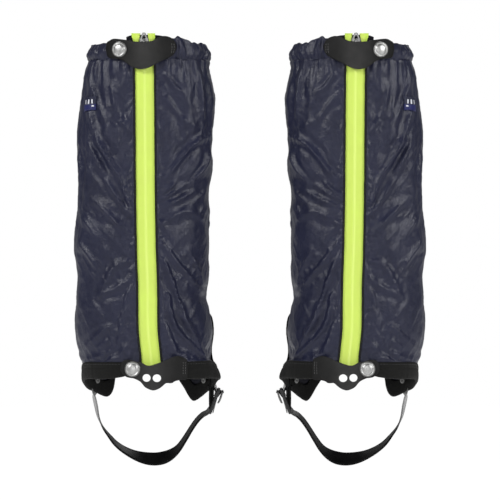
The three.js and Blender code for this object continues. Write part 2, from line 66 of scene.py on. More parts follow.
# ------------------------------------------------------------------ shell surface
def keyed(keys):
    xs = np.array([k[0] for k in keys], float)
    ys = np.array([k[1] for k in keys], float)
    n = len(xs)
    sl = np.array([(ys[min(n - 1, i + 1)] - ys[max(0, i - 1)]) / (xs[min(n - 1, i + 1)] - xs[max(0, i - 1)]) for i in range(n)])

    def f(x):
        c = np.clip(np.asarray(x, float), xs[0], xs[-1])
        i = np.clip(np.searchsorted(xs, c, side="left"), 1, n - 1)
        h = xs[i] - xs[i - 1]
        t = (c - xs[i - 1]) / h
        return ys[i - 1] * (1 + 2 * t) * (1 - t) ** 2 + ys[i] * t * t * (3 - 2 * t) + h * (sl[i - 1] * t * (1 - t) ** 2 + sl[i] * t * t * (t - 1))

    return f


def smooth(a, b, x):
    t = np.clip((np.asarray(x, float) - a) / (b - a), 0, 1)
    return t * t * (3 - 2 * t)


def lerp(a, b, t):
    return a + (b - a) * t


SHELL_TOP = 373.7
side_left = keyed([(-110, -70), (-30, -72), (0, -75), (21, -77), (50, -81), (85, -82.2), (156, -82.5), (220, -81.6), (276, -81), (305, -80), (333, -76.7), (347, -75), (361, -70.8), (375, -67.5), (392, -66.5), (420, -66.5)])
side_right = keyed([(-110, 79), (-30, 80.5), (0, 82.5), (21, 79), (50, 77), (85, 73.5), (156, 73.2), (220, 73.8), (276, 77.4), (305, 79.4), (333, 79.8), (347, 77.9), (361, 74.5), (375, 73.3), (392, 71.5), (420, 71.5)])


def front_depth(z):
    return 62 - 12 * np.asarray(z, float) / 396


def zip_x(z):
    return 4.793 - 0.0165 * np.asarray(z, float)


Z0, Z1 = -110, 420
ZS = np.arange(Z0, Z1 + 1, 1.0)
SS = np.arange(-260, 260.01, 0.5)
TABLE = np.empty((len(ZS), len(SS), 2))
LENGTH = np.empty(len(ZS))
_th = -np.pi / 2 + 2 * np.pi * np.arange(960) / 960
for _i, _z in enumerate(ZS):
    _l, _r, _b, _zx = float(side_left(_z)), float(side_right(_z)), float(front_depth(_z)), float(zip_x(_z))
    _c, _s = np.cos(_th), np.sin(_th)
    _x = (_l + _r) / 2 + (_r - _l) / 2 * np.sign(_c) * np.abs(_c) ** (2 / 2.3)
    _y = _b * np.sign(_s) * np.abs(_s) ** (2 / 2.3)
    _y = np.where(_y < 0, lerp(-_b, _y, smooth(16, 42, np.abs(_x - _zx))), _y)
    _front = np.where(_y < 0, np.abs(_x - _zx), 1e9)
    _k = int(np.argmin(_front))
    _x, _y = np.roll(_x, -_k), np.roll(_y, -_k)
    _keep = np.ones(960, bool)
    _keep[:24] = _x[:24] > _zx + 0.3
    _keep[-24:] = _x[-24:] < _zx - 0.3
    _px = np.concatenate([[_zx], _x[_keep], [_zx]])
    _py = np.concatenate([[-_b], _y[_keep], [-_b]])
    _al = np.concatenate([[0], np.cumsum(np.hypot(np.diff(_px), np.diff(_py)))])
    LENGTH[_i] = _al[-1]
    _q = np.mod(SS, _al[-1])
    TABLE[_i, :, 0] = np.interp(_q, _al, _px)
    TABLE[_i, :, 1] = np.interp(_q, _al, _py)


def half_round(z):
    return np.interp(z, ZS, LENGTH) / 2


def _base(s, z):
    fi = np.clip(z - Z0, 0, len(ZS) - 1.001)
    i = fi.astype(int)
    t = (fi - i)[..., None]
    fj = np.clip((s + 260) * 2, 0, len(SS) - 1.001)
    j = fj.astype(int)
    u = (fj - j)[..., None]
    return (TABLE[i, j] * (1 - t) + TABLE[i + 1, j] * t) * (1 - u) + (TABLE[i, j + 1] * (1 - t) + TABLE[i + 1, j + 1] * t) * u


def P(s, z, o=0.0):
    s, z, o = np.broadcast_arrays(np.asarray(s, float), np.asarray(z, float), np.asarray(o, float))
    p, d = _base(s, z), _base(s + 2, z) - _base(s - 2, z)
    d = d / np.linalg.norm(d, axis=-1, keepdims=True)
    return np.stack([p[..., 0] + d[..., 1] * o, p[..., 1] - d[..., 0] * o, z], -1)


# The sewn zip wanders a little from its straight line, most of all where it meets the lower tab.
ZIP_DX = keyed([(5, 2.8), (21, 2.4), (35, 1.1), (57, -0.5), (106, -0.3), (159, -1.2), (248, -0.9), (300, -0.4), (354, -0.1), (372, 0), (420, 0)])


def C(s, z, o=0.0):
    """As P, for the cloth: near the zip it follows the sewn line."""
    p = P(s, z, o)
    p[..., 0] += ZIP_DX(z) * (1 - smooth(18, 62, np.abs(s)))
    return p


def normal_at(s, z):
    n = P(s, z, 1.0) - P(s, z, 0.0)
    return n / np.linalg.norm(n, axis=-1, keepdims=True)


def s_of(x, z, o=0.0):
    """The s of a point on the front half that lies at x, at height z and offset o."""
    x, z = np.asarray(x, float), np.asarray(z, float)
    s = x - zip_x(z)
    for _ in range(12):
        s = s + (x - P(s, z, o)[..., 0]) * 0.9
    return s


HALF0 = float(half_round(0))
# The lower hem's edges by the distance from the zip line: the two sides hang differently behind.
_LOW_L = keyed([(0, 7), (18, 7), (35, 1.5), (60, -0.5), (90, -1.8), (112, -6), (132, -14), (150, -18.5), (162, -23.5), (171, -25.5), (177, -22.5), (181.5, -15), (185.5, -3), (190, 7), (206, 10), (230, 12)])
_LOW_R = keyed([(0, 7), (18, 7), (35, 1.5), (60, -0.5), (90, -0.6), (112, -3), (132, -11), (150, -19), (162, -26), (171.5, -30.5), (177, -28), (188, -14), (201, 1), (213, 9), (230, 12)])
_HIGH_L = keyed([(0, 17), (18, 17), (60, 16.5), (90, 15.5), (112, 11), (132, 3.5), (150, -1), (162, -6), (171, -8), (177, -5), (181.5, 2), (185.5, 14), (190, 24), (206, 27), (230, 29)])
_HIGH_R = keyed([(0, 17), (18, 17), (60, 17.5), (90, 17.5), (112, 14), (132, 6), (150, -2), (162, -9), (171, -13), (177, -10), (186, 3), (197, 18), (210, 26), (230, 29)])


def _sided(a, b, s):
    d = np.minimum(np.abs(s), HALF0) * (230.0 / HALF0)
    side = np.where(np.asarray(s) >= 0, 1.0, 0.0)
    near = smooth(214, 230, d) * 0.5
    side = side * (1 - near) + (1 - side) * near
    return a(d) * (1 - side) + b(d) * side


def hem_low_at(s):
    return _sided(_LOW_L, _LOW_R, np.asarray(s, float))


def hem_high_at(s):
    return _sided(_HIGH_L, _HIGH_R, np.asarray(s, float))


# ------------------------------------------------------------------ noise, all seeded by position
def _hash(ix, iy, seed):
    h = (ix.astype(np.int64) * 374761393 + iy.astype(np.int64) * 668265263 + seed * 974634777) & 0xFFFFFFFF
    h = ((h ^ (h >> 13)) * 1274126177) & 0xFFFFFFFF
    h = (h ^ (h >> 16)) & 0xFFFFFFFF
    return h / 4294967295.0


def noise2(x, y, seed=1):
    """Smooth value noise from -1 to 1."""
    x, y = np.broadcast_arrays(np.asarray(x, float), np.asarray(y, float))
    ix, iy = np.floor(x).astype(np.int64), np.floor(y).astype(np.int64)
    fx, fy = x - ix, y - iy
    fx, fy = fx**3 * (fx * (6 * fx - 15) + 10), fy**3 * (fy * (6 * fy - 15) + 10)
    a, b = _hash(ix, iy, seed), _hash(ix + 1, iy, seed)
    c, d = _hash(ix, iy + 1, seed), _hash(ix + 1, iy + 1, seed)
    return 2 * ((a * (1 - fx) + b * fx) * (1 - fy) + (c * (1 - fx) + d * fx) * fy) - 1


def fbm(x, y, seed=1, octaves=3):
    out, amp = 0.0, 1.0
    for k in range(octaves):
        out = out + amp * noise2(x * 2**k, y * 2**k, seed + 7 * k)
        amp *= 0.5
    return out / 1.75


def crease(x, y, seed=1):
    """Sharp-topped ridges, like creased coated fabric: 0 to 1."""
    wx, wy = x + 0.7 * fbm(x * 0.6, y * 0.6, seed + 50), y + 0.7 * fbm(x * 0.6 + 9, y * 0.6, seed + 60)
    return (1 - np.abs(noise2(wx, wy, seed))) ** 2


# ------------------------------------------------------------------ mesh helpers
def make(name, verts, faces, mat, uv=None, smooth_faces=True):
    me = bpy.data.meshes.new(name)
    me.from_pydata((np.asarray(verts, float) * MM).tolist(), [], [tuple(map(int, f)) for f in faces])
    if uv is not None:
        layer = me.uv_layers.new(name="flat")
        loops = np.empty(len(me.loops), np.int32)
        me.loops.foreach_get("vertex_index", loops)
        layer.data.foreach_set("uv", np.asarray(uv, np.float32)[loops].ravel())
    me.materials.append(mat)
    if smooth_faces:
        me.polygons.foreach_set("use_smooth", np.ones(len(me.polygons), bool))
    me.update()
    ob = bpy.data.objects.new(name, me)
    SCENE.collection.objects.link(ob)
    return ob


def apply_modifiers(ob):
    dg = bpy.context.evaluated_depsgraph_get()
    me = bpy.data.meshes.new_from_object(ob.evaluated_get(dg))
    me.name = ob.name
    ob.modifiers.clear()
    ob.data = me
    return ob


def pair(name, verts, faces, mat, body, nodes=(), uv=None, blend=None, mods=None, smooth_faces=True, angle=None):
    """The left piece and its mirror image on the right gaiter, riding on their bodies; with blend they are baked into
    place and ride on none.
    """
    verts = np.asarray(verts, float)
    faces = [tuple(map(int, f)) for f in faces]
    out = []
    for side in ("left", "right"):
        v, f = verts.copy(), faces
        if side == "right":
            v[:, 0] = MIRROR - v[:, 0]
            f = [tuple(reversed(q)) for q in faces]
        ob = make(f"{side}_{name}", v, f, mat, uv, smooth_faces)
        bm = bmesh.new()
        bm.from_mesh(ob.data)
        if name not in OPEN_PIECES:
            bmesh.ops.recalc_face_normals(bm, faces=bm.faces)
        bm.to_mesh(ob.data)
        bm.free()
        if angle is not None:
            ob.data.set_sharp_from_angle(angle=math.radians(angle))
        if mods:
            mods(ob)
            apply_modifiers(ob)
        if blend:
            (a, b, start, end) = blend
            st, en = list(start), list(end)
            if side == "right":
                st[0], en[0] = MIRROR - st[0], MIRROR - en[0]
            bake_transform(ob)
        else:
            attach(ob, f"{side}_{body}")
        if nodes:
            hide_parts(*[f"{side}_{n}" for n in nodes])
        out.append(ob)
    return out


OPEN_PIECES = set()


def grid_faces(n, m, wrap=False):
    """Quads of an n x m lattice of vertices, row by row; wrap joins the last column to the first."""
    i = np.arange(n - 1)[:, None]
    j = np.arange(m if wrap else m - 1)[None, :]
    k = (j + 1) % m
    return np.stack([i * m + j + 0 * k, i * m + k, (i + 1) * m + k, (i + 1) * m + j + 0 * k], -1).reshape(-1, 4)


def sweep(rows, closed=False):
    """A closed solid from an (n, m, 3) array: n places along the path, each a closed outline of m points."""
    n, m, _ = rows.shape
    faces = [tuple(q) for q in grid_faces(n, m, True)]
    if closed:
        faces += [((n - 1) * m + j, (n - 1) * m + (j + 1) % m, (j + 1) % m, j) for j in range(m)]
    else:
        faces += [tuple(range(m))[::-1], tuple((n - 1) * m + j for j in range(m))]
    return rows.reshape(-1, 3), faces


def rounded(w, h, r, k=4):
    """A rounded rectangle's outline, w wide and h high, about the origin."""
    pts = []
    for q in range(4):
        for i in range(k + 1):
            a = (q + i / k) * math.pi / 2
            pts.append(((w / 2 - r) * (1 if q in (0, 3) else -1) + r * math.cos(a), (h / 2 - r) * (1 if q < 2 else -1) + r * math.sin(a)))
    return np.array(pts)


def lathe(profile, segs=40):
    """Solid of revolution about +Z from (radius, height) pairs that start and end on the axis or close on themselves."""
    prof = list(profile)
    verts, faces, rings = [], [], []
    for r, h in prof:
        if abs(r) < 1e-6:
            rings.append([len(verts)])
            verts.append((0, 0, h))
        else:
            rings.append(list(range(len(verts), len(verts) + segs)))
            verts += [(r * math.cos(2 * math.pi * i / segs), r * math.sin(2 * math.pi * i / segs), h) for i in range(segs)]
    for a, b in zip(rings[:-1], rings[1:]):
        for i in range(segs):
            j = (i + 1) % segs
            if len(a) == 1 and len(b) > 1:
                faces.append((a[0], b[i], b[j]))
            elif len(b) == 1 and len(a) > 1:
                faces.append((a[i], b[0], a[j]))
            elif len(a) > 1:
                faces.append((a[i], b[i], b[j], a[j]))
    return np.array(verts, float), faces


def placed(verts, s, z, o):
    """Moves a piece made round the origin, +Z outwards and +Y up, to a place on the shell."""
    n = normal_at(s, z)
    up = np.array([0, 0, 1.0])
    side = np.cross(up, n)
    return verts @ np.stack([side, up, n]) + P(s, z, o)


def join(parts):
    """One (verts, faces) from several."""
    vs, fs, n = [], [], 0
    for v, f in parts:
        vs.append(np.asarray(v, float))
        fs += [tuple(int(i) + n for i in q) for q in f]
        n += len(v)
    return np.concatenate(vs), fs


def stitches(points, normals, length=2.4, gap=1.2, width=0.55, height=0.4):
    """A row of raised thread stitches along a polyline that lies on a surface with these normals."""
    pts, nor = np.asarray(points, float), np.asarray(normals, float)
    along = np.concatenate([[0], np.cumsum(np.linalg.norm(np.diff(pts, axis=0), axis=1))])
    n = max(1, int(along[-1] // (length + gap)))
    parts, m = [], 6
    tx = np.linspace(-0.5, 0.5, 5)
    for k in range(n):
        c = (k + 0.5) * (length + gap)
        a = np.array([[np.interp(c + t * length, along, pts[:, d]) for d in range(3)] for t in tx])
        nn = np.array([np.interp(c, along, nor[:, d]) for d in range(3)])
        nn /= np.linalg.norm(nn)
        d = a[-1] - a[0]
        d /= np.linalg.norm(d)
        sd = np.cross(nn, d)
        rows = []
        for i, t in enumerate(tx):
            f = math.sqrt(max(0.05, 1 - (2 * t) ** 2 * 0.9))
            ring = [a[i] + sd * (width / 2 * f * math.cos(2 * math.pi * q / m)) + nn * (height * (f - 0.35) * 0.5 + height / 2 * f * math.sin(2 * math.pi * q / m)) for q in range(m)]
            rows.append(ring)
        parts.append(sweep(np.array(rows)))
    return join(parts)


# ------------------------------------------------------------------ materials
class Mat:
    """A Principled material with a few helpers for its nodes."""

    def __init__(self, name, color, rough, metal=0.0, sheen=0.0, sheen_rough=0.5, spec=0.5, coat=0.0, coat_rough=0.3):
        self.m = bpy.data.materials.new(name)
        self.m.use_nodes = True
        self.t = self.m.node_tree
        self.t.nodes.clear()
        self.out = self.t.nodes.new("ShaderNodeOutputMaterial")
        self.b = self.t.nodes.new("ShaderNodeBsdfPrincipled")
        self.t.links.new(self.b.outputs[0], self.out.inputs[0])
        b = self.b.inputs
        b["Base Color"].default_value = (*color, 1)
        b["Roughness"].default_value = rough
        b["Metallic"].default_value = metal
        b["Sheen Weight"].default_value = sheen
        b["Sheen Roughness"].default_value = sheen_rough
        b["Specular IOR Level"].default_value = spec
        b["Coat Weight"].default_value = coat
        b["Coat Roughness"].default_value = coat_rough
        self.m.diffuse_color = (*color, 1)
        self.bump_out = None

    def node(self, kind, inputs=None, **props):
        n = self.t.nodes.new(kind)
        for k, v in props.items():
            setattr(n, k, v)
        for k, v in (inputs or {}).items():
            if isinstance(v, bpy.types.NodeSocket):
                self.t.links.new(v, n.inputs[k])
            else:
                n.inputs[k].default_value = v
        return n

    def link(self, a, b):
        self.t.links.new(a, b)

    def coord(self, kind="Object", scale=(1, 1, 1)):
        c = self.node("ShaderNodeTexCoord")
        mp = self.node("ShaderNodeMapping", {"Vector": c.outputs[kind], "Scale": scale})
        return mp.outputs[0]

    def noise(self, vec, scale, detail=3.0, rough=0.55, distortion=0.0):
        return self.node("ShaderNodeTexNoise", {"Vector": vec, "Scale": scale, "Detail": detail, "Roughness": rough, "Distortion": distortion}).outputs["Fac"]

    def ramp(self, fac, stops, interp="LINEAR"):
        r = self.node("ShaderNodeValToRGB", {"Fac": fac})
        r.color_ramp.interpolation = interp
        e = r.color_ramp.elements
        while len(e) > 1:
            e.remove(e[-1])
        for i, (p, c) in enumerate(stops):
            x = e[0] if i == 0 else e.new(p)
            x.position = p
            x.color = (*c, 1) if len(c) == 3 else c
        return r.outputs["Color"]

    def mix(self, fac, a, b, blend="MIX"):
        n = self.t.nodes.new("ShaderNodeMix")
        n.data_type = "RGBA"
        n.blend_type = blend
        for sock, v in ((n.inputs[0], fac), (n.inputs[6], a), (n.inputs[7], b)):
            if isinstance(v, bpy.types.NodeSocket):
                self.link(v, sock)
            else:
                sock.default_value = v if not isinstance(v, tuple) or len(v) == 4 else (*v, 1)
        return n.outputs[2]

    def math(self, op, a, b=0.0, clamp=False):
        n = self.t.nodes.new("ShaderNodeMath")
        n.operation = op
        n.use_clamp = clamp
        for sock, v in ((n.inputs[0], a), (n.inputs[1], b)):
            if isinstance(v, bpy.types.NodeSocket):
                self.link(v, sock)
            else:
                sock.default_value = v
        return n.outputs[0]

    def bump(self, height, strength, distance):
        ins = {"Height": height, "Strength": strength, "Distance": distance}
        if self.bump_out is not None:
            ins["Normal"] = self.bump_out
        self.bump_out = self.node("ShaderNodeBump", ins).outputs[0]
        for l in list(self.b.inputs["Normal"].links):
            self.t.links.remove(l)
        self.link(self.bump_out, self.b.inputs["Normal"])

    def color(self, sock):
        self.link(sock, self.b.inputs["Base Color"])

    def rough(self, sock):
        self.link(sock, self.b.inputs["Roughness"])

    def rough_from(self, fac, lo, hi):
        n = self.node("ShaderNodeMapRange", {"Value": fac, "To Min": lo, "To Max": hi})
        self.rough(n.outputs[0])


def weave(mt, vec, pitch, depth=0.5):
    """Plain weave height from a vector in mm: crossed threads, each going over and under."""
    sep = mt.node("ShaderNodeSeparateXYZ", {"Vector": vec})
    k = 2 * math.pi / pitch
    u = mt.math("MULTIPLY", sep.outputs[0], k)
    v = mt.math("MULTIPLY", sep.outputs[1], k)
    cu, cv = mt.math("COSINE", u), mt.math("COSINE", v)
    hu, hv = mt.math("COSINE", mt.math("MULTIPLY", u, 0.5)), mt.math("COSINE", mt.math("MULTIPLY", v, 0.5))
    over = mt.math("MULTIPLY", mt.math("SIGN", mt.math("MULTIPLY", hu, hv)), depth)
    return mt.math("ADD", mt.math("MULTIPLY", mt.math("ADD", cu, cv), 0.25), mt.math("MULTIPLY", over, 0.3))


def fabric_material():
    m = Mat("navy_coated_nylon", (0.012, 0.014, 0.036), 0.38, sheen=0.02, sheen_rough=0.4, spec=0.32)
    o, uv = m.coord("Object"), m.coord("UV")
    big, mid = m.noise(o, 22, 3), m.noise(o, 160, 4, 0.6)
    c = m.ramp(big, [(0.3, (0.0068, 0.0080, 0.0225)), (0.7, (0.0112, 0.0130, 0.0335))])
    c = m.mix(m.ramp(mid, [(0.35, (0, 0, 0)), (0.75, (1, 1, 1))]), c, (0.0128, 0.0146, 0.036))
    m.color(c)
    m.rough_from(mid, 0.30, 0.46)
    fine = m.noise(o, 520, 4, 0.62, 0.6)
    m.bump(fine, 0.45, 0.0007)
    cr = m.noise(o, 190, 3, 0.5, 1.2)
    m.bump(cr, 0.32, 0.001)
    m.bump(weave(m, uv, 0.55), 0.18, 0.00012)
    return m.m


def lining_material():
    m = Mat("black_lining", (0.006, 0.006, 0.010), 0.62, sheen=0.0, spec=0.15)
    o, uv = m.coord("Object"), m.coord("UV")
    m.color(m.ramp(m.noise(o, 60, 3), [(0.3, (0.004, 0.004, 0.008)), (0.7, (0.009, 0.0095, 0.017))]))
    m.rough_from(m.noise(o, 240, 3), 0.52, 0.7)
    m.bump(weave(m, uv, 0.7), 0.35, 0.00015)
    return m.m


def binding_material():
    m = Mat("black_binding", (0.008, 0.008, 0.008), 0.6, sheen=0.02, sheen_rough=0.6, spec=0.12)
    o, uv = m.coord("Object"), m.coord("UV")
    sep = m.node("ShaderNodeSeparateXYZ", {"Vector": uv})
    rib = m.math("SINE", m.math("MULTIPLY", m.math("ADD", sep.outputs[0], m.math("MULTIPLY", sep.outputs[1], 0.5)), 2 * math.pi / 1.1))
    n = m.noise(o, 420, 3)
    m.color(m.mix(m.math("MULTIPLY", m.math("ADD", rib, 1.0), 0.35), (0.0045, 0.0045, 0.0042, 1), (0.0105, 0.0105, 0.0098, 1)))
    m.rough_from(n, 0.58, 0.75)
    m.bump(rib, 0.5, 0.00022)
    m.bump(n, 0.3, 0.0003)
    return m.m


def neon_material():
    m = Mat("neon_tape", (0.70, 0.87, 0.17), 0.62, sheen=0.15, sheen_rough=0.5, spec=0.3)
    o, uv = m.coord("Object"), m.coord("UV")
    sep = m.node("ShaderNodeSeparateXYZ", {"Vector": uv})
    # woven rows across the tape and cord ribs along it; a painted highlight makes the middle lighter by the coil, and
    # painted shade makes the outer edges a deeper green where they curl under the binding
    row = m.math("SINE", m.math("MULTIPLY", sep.outputs[1], 2 * math.pi / 1.0))
    rib = m.math("SINE", m.math("MULTIPLY", sep.outputs[0], 2 * math.pi / 1.3))
    mid = m.math("SUBTRACT", 1.0, m.math("MULTIPLY", m.math("ABSOLUTE", sep.outputs[0]), 0.42), True)
    edge = m.math("SUBTRACT", m.math("ABSOLUTE", sep.outputs[0]), 9.6, True)
    c = m.mix(m.math("MULTIPLY", m.math("ADD", row, 1.0), 0.22), (0.535, 0.695, 0.105, 1), (0.62, 0.755, 0.16, 1))
    # painted highlight along the middle
    c = m.mix(m.math("MULTIPLY", mid, 0.55), c, (0.79, 0.93, 0.27, 1))
    # painted shade on the outer edges
    c = m.mix(m.math("MULTIPLY", edge, 0.55), c, (0.52, 0.78, 0.07, 1))
    c = m.mix(m.ramp(m.noise(o, 45, 3), [(0.42, (0, 0, 0)), (0.75, (0.35, 0.35, 0.35))]), c, (0.60, 0.82, 0.11, 1))
    m.color(c)
    m.bump(row, 0.35, 0.00018)
    m.bump(rib, 0.25, 0.0002)
    m.bump(m.noise(o, 700, 2), 0.2, 0.0002)
    m.rough_from(m.noise(o, 200, 2), 0.55, 0.72)
    return m.m


def coil_material():
    m = Mat("neon_coil", (0.62, 0.84, 0.13), 0.36, spec=0.5)
    o = m.coord("Object")
    m.color(m.ramp(m.noise(o, 120, 2), [(0.3, (0.58, 0.80, 0.10)), (0.7, (0.68, 0.88, 0.17))]))
    m.rough_from(m.noise(o, 300, 2), 0.3, 0.45)
    return m.m


def thread_material(name, color):
    m = Mat(name, color, 0.6, sheen=0.2, spec=0.35)
    o = m.coord("Object")
    n = m.noise(o, 1500, 2)
    m.color(m.mix(n, (*[c * 0.75 for c in color], 1), (*[min(1, c * 1.3) for c in color], 1)))
    m.bump(n, 0.4, 0.0001)
    return m.m


def nickel_material(name="nickel", dark=1.0):
    m = Mat(name, (0.62 * dark, 0.62 * dark, 0.61 * dark), 0.24, metal=1.0)
    o = m.coord("Object")
    wear, fine = m.noise(o, 260, 4, 0.6), m.noise(o, 1400, 3, 0.6)
    m.color(m.ramp(wear, [(0.3, (0.50 * dark, 0.50 * dark, 0.49 * dark)), (0.62, (0.68 * dark, 0.68 * dark, 0.67 * dark)), (0.8, (0.75 * dark, 0.74 * dark, 0.72 * dark))]))
    m.rough_from(fine, 0.36, 0.46)
    m.bump(fine, 0.01, 0.00003)
    return m.m


def pu_material(name, middle, spread, ends):
    """Moulded rubbery sheet: the middle is paler and the ends are painted darker, painted shade standing in for the
    shading of the bent plate.
    """
    m = Mat(name, (0.03, 0.03, 0.03), 0.46, spec=0.16)
    o = m.coord("Object")
    v = m.node("ShaderNodeTexVoronoi", {"Vector": o, "Scale": 1150.0, "Randomness": 1.0}, feature="DISTANCE_TO_EDGE")
    grain = m.ramp(v.outputs["Distance"], [(0.0, (0, 0, 0)), (0.12, (1, 1, 1))])
    n = m.noise(o, 90, 3)
    speck = m.noise(o, 1900, 2, 0.7)
    c = m.ramp(n, [(0.3, (0.020, 0.020, 0.020)), (0.7, (0.030, 0.0295, 0.029))])
    c = m.mix(m.ramp(speck, [(0.5, (0, 0, 0)), (0.72, (0.5, 0.5, 0.5))]), c, (0.050, 0.049, 0.048, 1))
    sep = m.node("ShaderNodeSeparateXYZ", {"Vector": m.coord("UV")})
    # painted shade: away from its middle the sheet is darkened by the factor ends, in place of the shading of its bend
    far = m.math("MULTIPLY", m.math("SUBTRACT", sep.outputs[0], middle), 1.0 / spread)
    painted_lit_middle = m.math("EXPONENT", m.math("MULTIPLY", m.math("MULTIPLY", far, far), -1.0))
    c = m.mix(painted_lit_middle, m.mix(1.0, c, (ends, ends, ends, 1), "MULTIPLY"), c)
    m.color(c)
    m.bump(grain, 0.35, 0.00022)
    m.bump(n, 0.25, 0.0012)
    m.rough_from(speck, 0.42, 0.62)
    return m.m


def strap_material(name, length=None):
    m = Mat(name, (0.003, 0.003, 0.0032), 0.3, spec=0.08)
    o = m.coord("Object")
    v = m.node("ShaderNodeTexVoronoi", {"Vector": o, "Scale": 900.0}, feature="DISTANCE_TO_EDGE")
    grain = m.ramp(v.outputs["Distance"], [(0.0, (0, 0, 0)), (0.15, (1, 1, 1))])
    m.color(m.ramp(m.noise(o, 80, 3), [(0.3, (0.0022, 0.0022, 0.0024)), (0.7, (0.005, 0.005, 0.0053))]))
    m.bump(grain, 0.15, 0.00025)
    m.rough_from(m.noise(o, 300, 3), 0.26, 0.36)
    if length:
        # painted reflection: the strap is painted pale grey towards both of its ends, where its glossy face catches the
        # white backdrop at a grazing angle
        sep = m.node("ShaderNodeSeparateXYZ", {"Vector": m.coord("UV")})
        one = m.node("ShaderNodeMapRange", {"Value": sep.outputs[1], "From Min": 42.0, "From Max": 76.0, "To Min": 1.0, "To Max": 0.0}).outputs[0]
        two = m.node("ShaderNodeMapRange", {"Value": sep.outputs[1], "From Min": length - 34.0, "From Max": length - 20.0, "To Min": 0.0, "To Max": 0.6}).outputs[0]
        src = m.b.inputs["Base Color"].links[0].from_socket
        m.color(m.mix(m.math("MAXIMUM", one, two), src, (0.24, 0.24, 0.24, 1)))
    return m.m


def label_material():
    """A woven satin label: navy ground and a plain motif of light bars with a short light line."""
    m = Mat("woven_label", (0.012, 0.016, 0.08), 0.45, sheen=0.02, spec=0.25)
    uv = m.coord("UV")
    sep = m.node("ShaderNodeSeparateXYZ", {"Vector": uv})
    x, y = sep.outputs[0], sep.outputs[1]

    def band(v, lo, hi):
        return m.math("MULTIPLY", m.math("GREATER_THAN", v, lo), m.math("LESS_THAN", v, hi))

    bars = m.math("MULTIPLY", m.math("GREATER_THAN", m.math("SINE", m.math("MULTIPLY", x, 2 * math.pi / 4.2)), 0.25), m.math("MULTIPLY", band(y, 0.48, 0.78), band(x, 5.0, 16.5)))
    line = m.math("MULTIPLY", band(y, 0.26, 0.36), band(x, 13.0, 16.0))
    light = m.math("MAXIMUM", bars, line)
    low = m.math("LESS_THAN", y, 0.44)
    c = m.mix(low, (0.009, 0.011, 0.032, 1), (0.010, 0.013, 0.085, 1))
    c = m.mix(light, c, (0.62, 0.63, 0.68, 1))
    m.color(c)
    tw = m.math("SINE", m.math("MULTIPLY", m.math("ADD", x, m.math("MULTIPLY", y, 16.0)), 2 * math.pi / 0.5))
    m.bump(tw, 0.3, 0.0001)
    m.rough_from(m.noise(m.coord("Object"), 500, 2), 0.4, 0.55)
    return m.m


NAVY = fabric_material()
LINING = lining_material()
BINDING = binding_material()
NEON = neon_material()
COIL = coil_material()
NICKEL = nickel_material("nickel", 0.74)
NICKEL_DARK = nickel_material("nickel_dark", 0.3)
# the last number is each tab's painted shade at its ends
PU_TOP = pu_material("black_pu_top", -1.0, 20.0, 0.10)
PU_BOTTOM = pu_material("black_pu_bottom", 8.0, 20.0, 0.25)
STRAP = strap_material("strap_pu")
PULL_METAL = nickel_material("nickel_pull", 0.42)
LABEL = label_material()
def buckle_material():
    m = Mat("gunmetal_buckle", (0.045, 0.045, 0.047), 0.5, metal=0.0, spec=0.25)
    o = m.coord("Object")
    n = m.noise(o, 500, 4, 0.6)
    m.color(m.ramp(n, [(0.3, (0.020, 0.020, 0.021)), (0.65, (0.032, 0.032, 0.033)), (0.85, (0.06, 0.06, 0.06))]))
    m.rough_from(n, 0.34, 0.5)
    m.bump(n, 0.12, 0.0002)
    return m.m


def plain_material(name, low, high, metal, rough, spec):
    m = Mat(name, low, rough, metal=metal, spec=spec)
    n = m.noise(m.coord("Object"), 420, 3, 0.6)
    m.color(m.ramp(n, [(0.3, low), (0.7, high)]))
    m.rough_from(n, rough - 0.06, rough + 0.08)
    m.bump(n, 0.06, 0.0001)
    return m.m


BUCKLE_GREY = buckle_material()
BUCKLE_BRIGHT = plain_material("buckle_bright", (0.15, 0.15, 0.15), (0.26, 0.26, 0.255), 0.0, 0.5, 0.25)
STRIP_GREY = plain_material("strip_grey", (0.30, 0.30, 0.30), (0.42, 0.42, 0.42), 0.0, 0.5, 0.3)
THREAD = thread_material("thread_black", (0.012, 0.012, 0.013))
THREAD_NAVY = thread_material("thread_navy", (0.03, 0.033, 0.055))
THREAD_GREY = thread_material("thread_grey", (0.10, 0.10, 0.10))


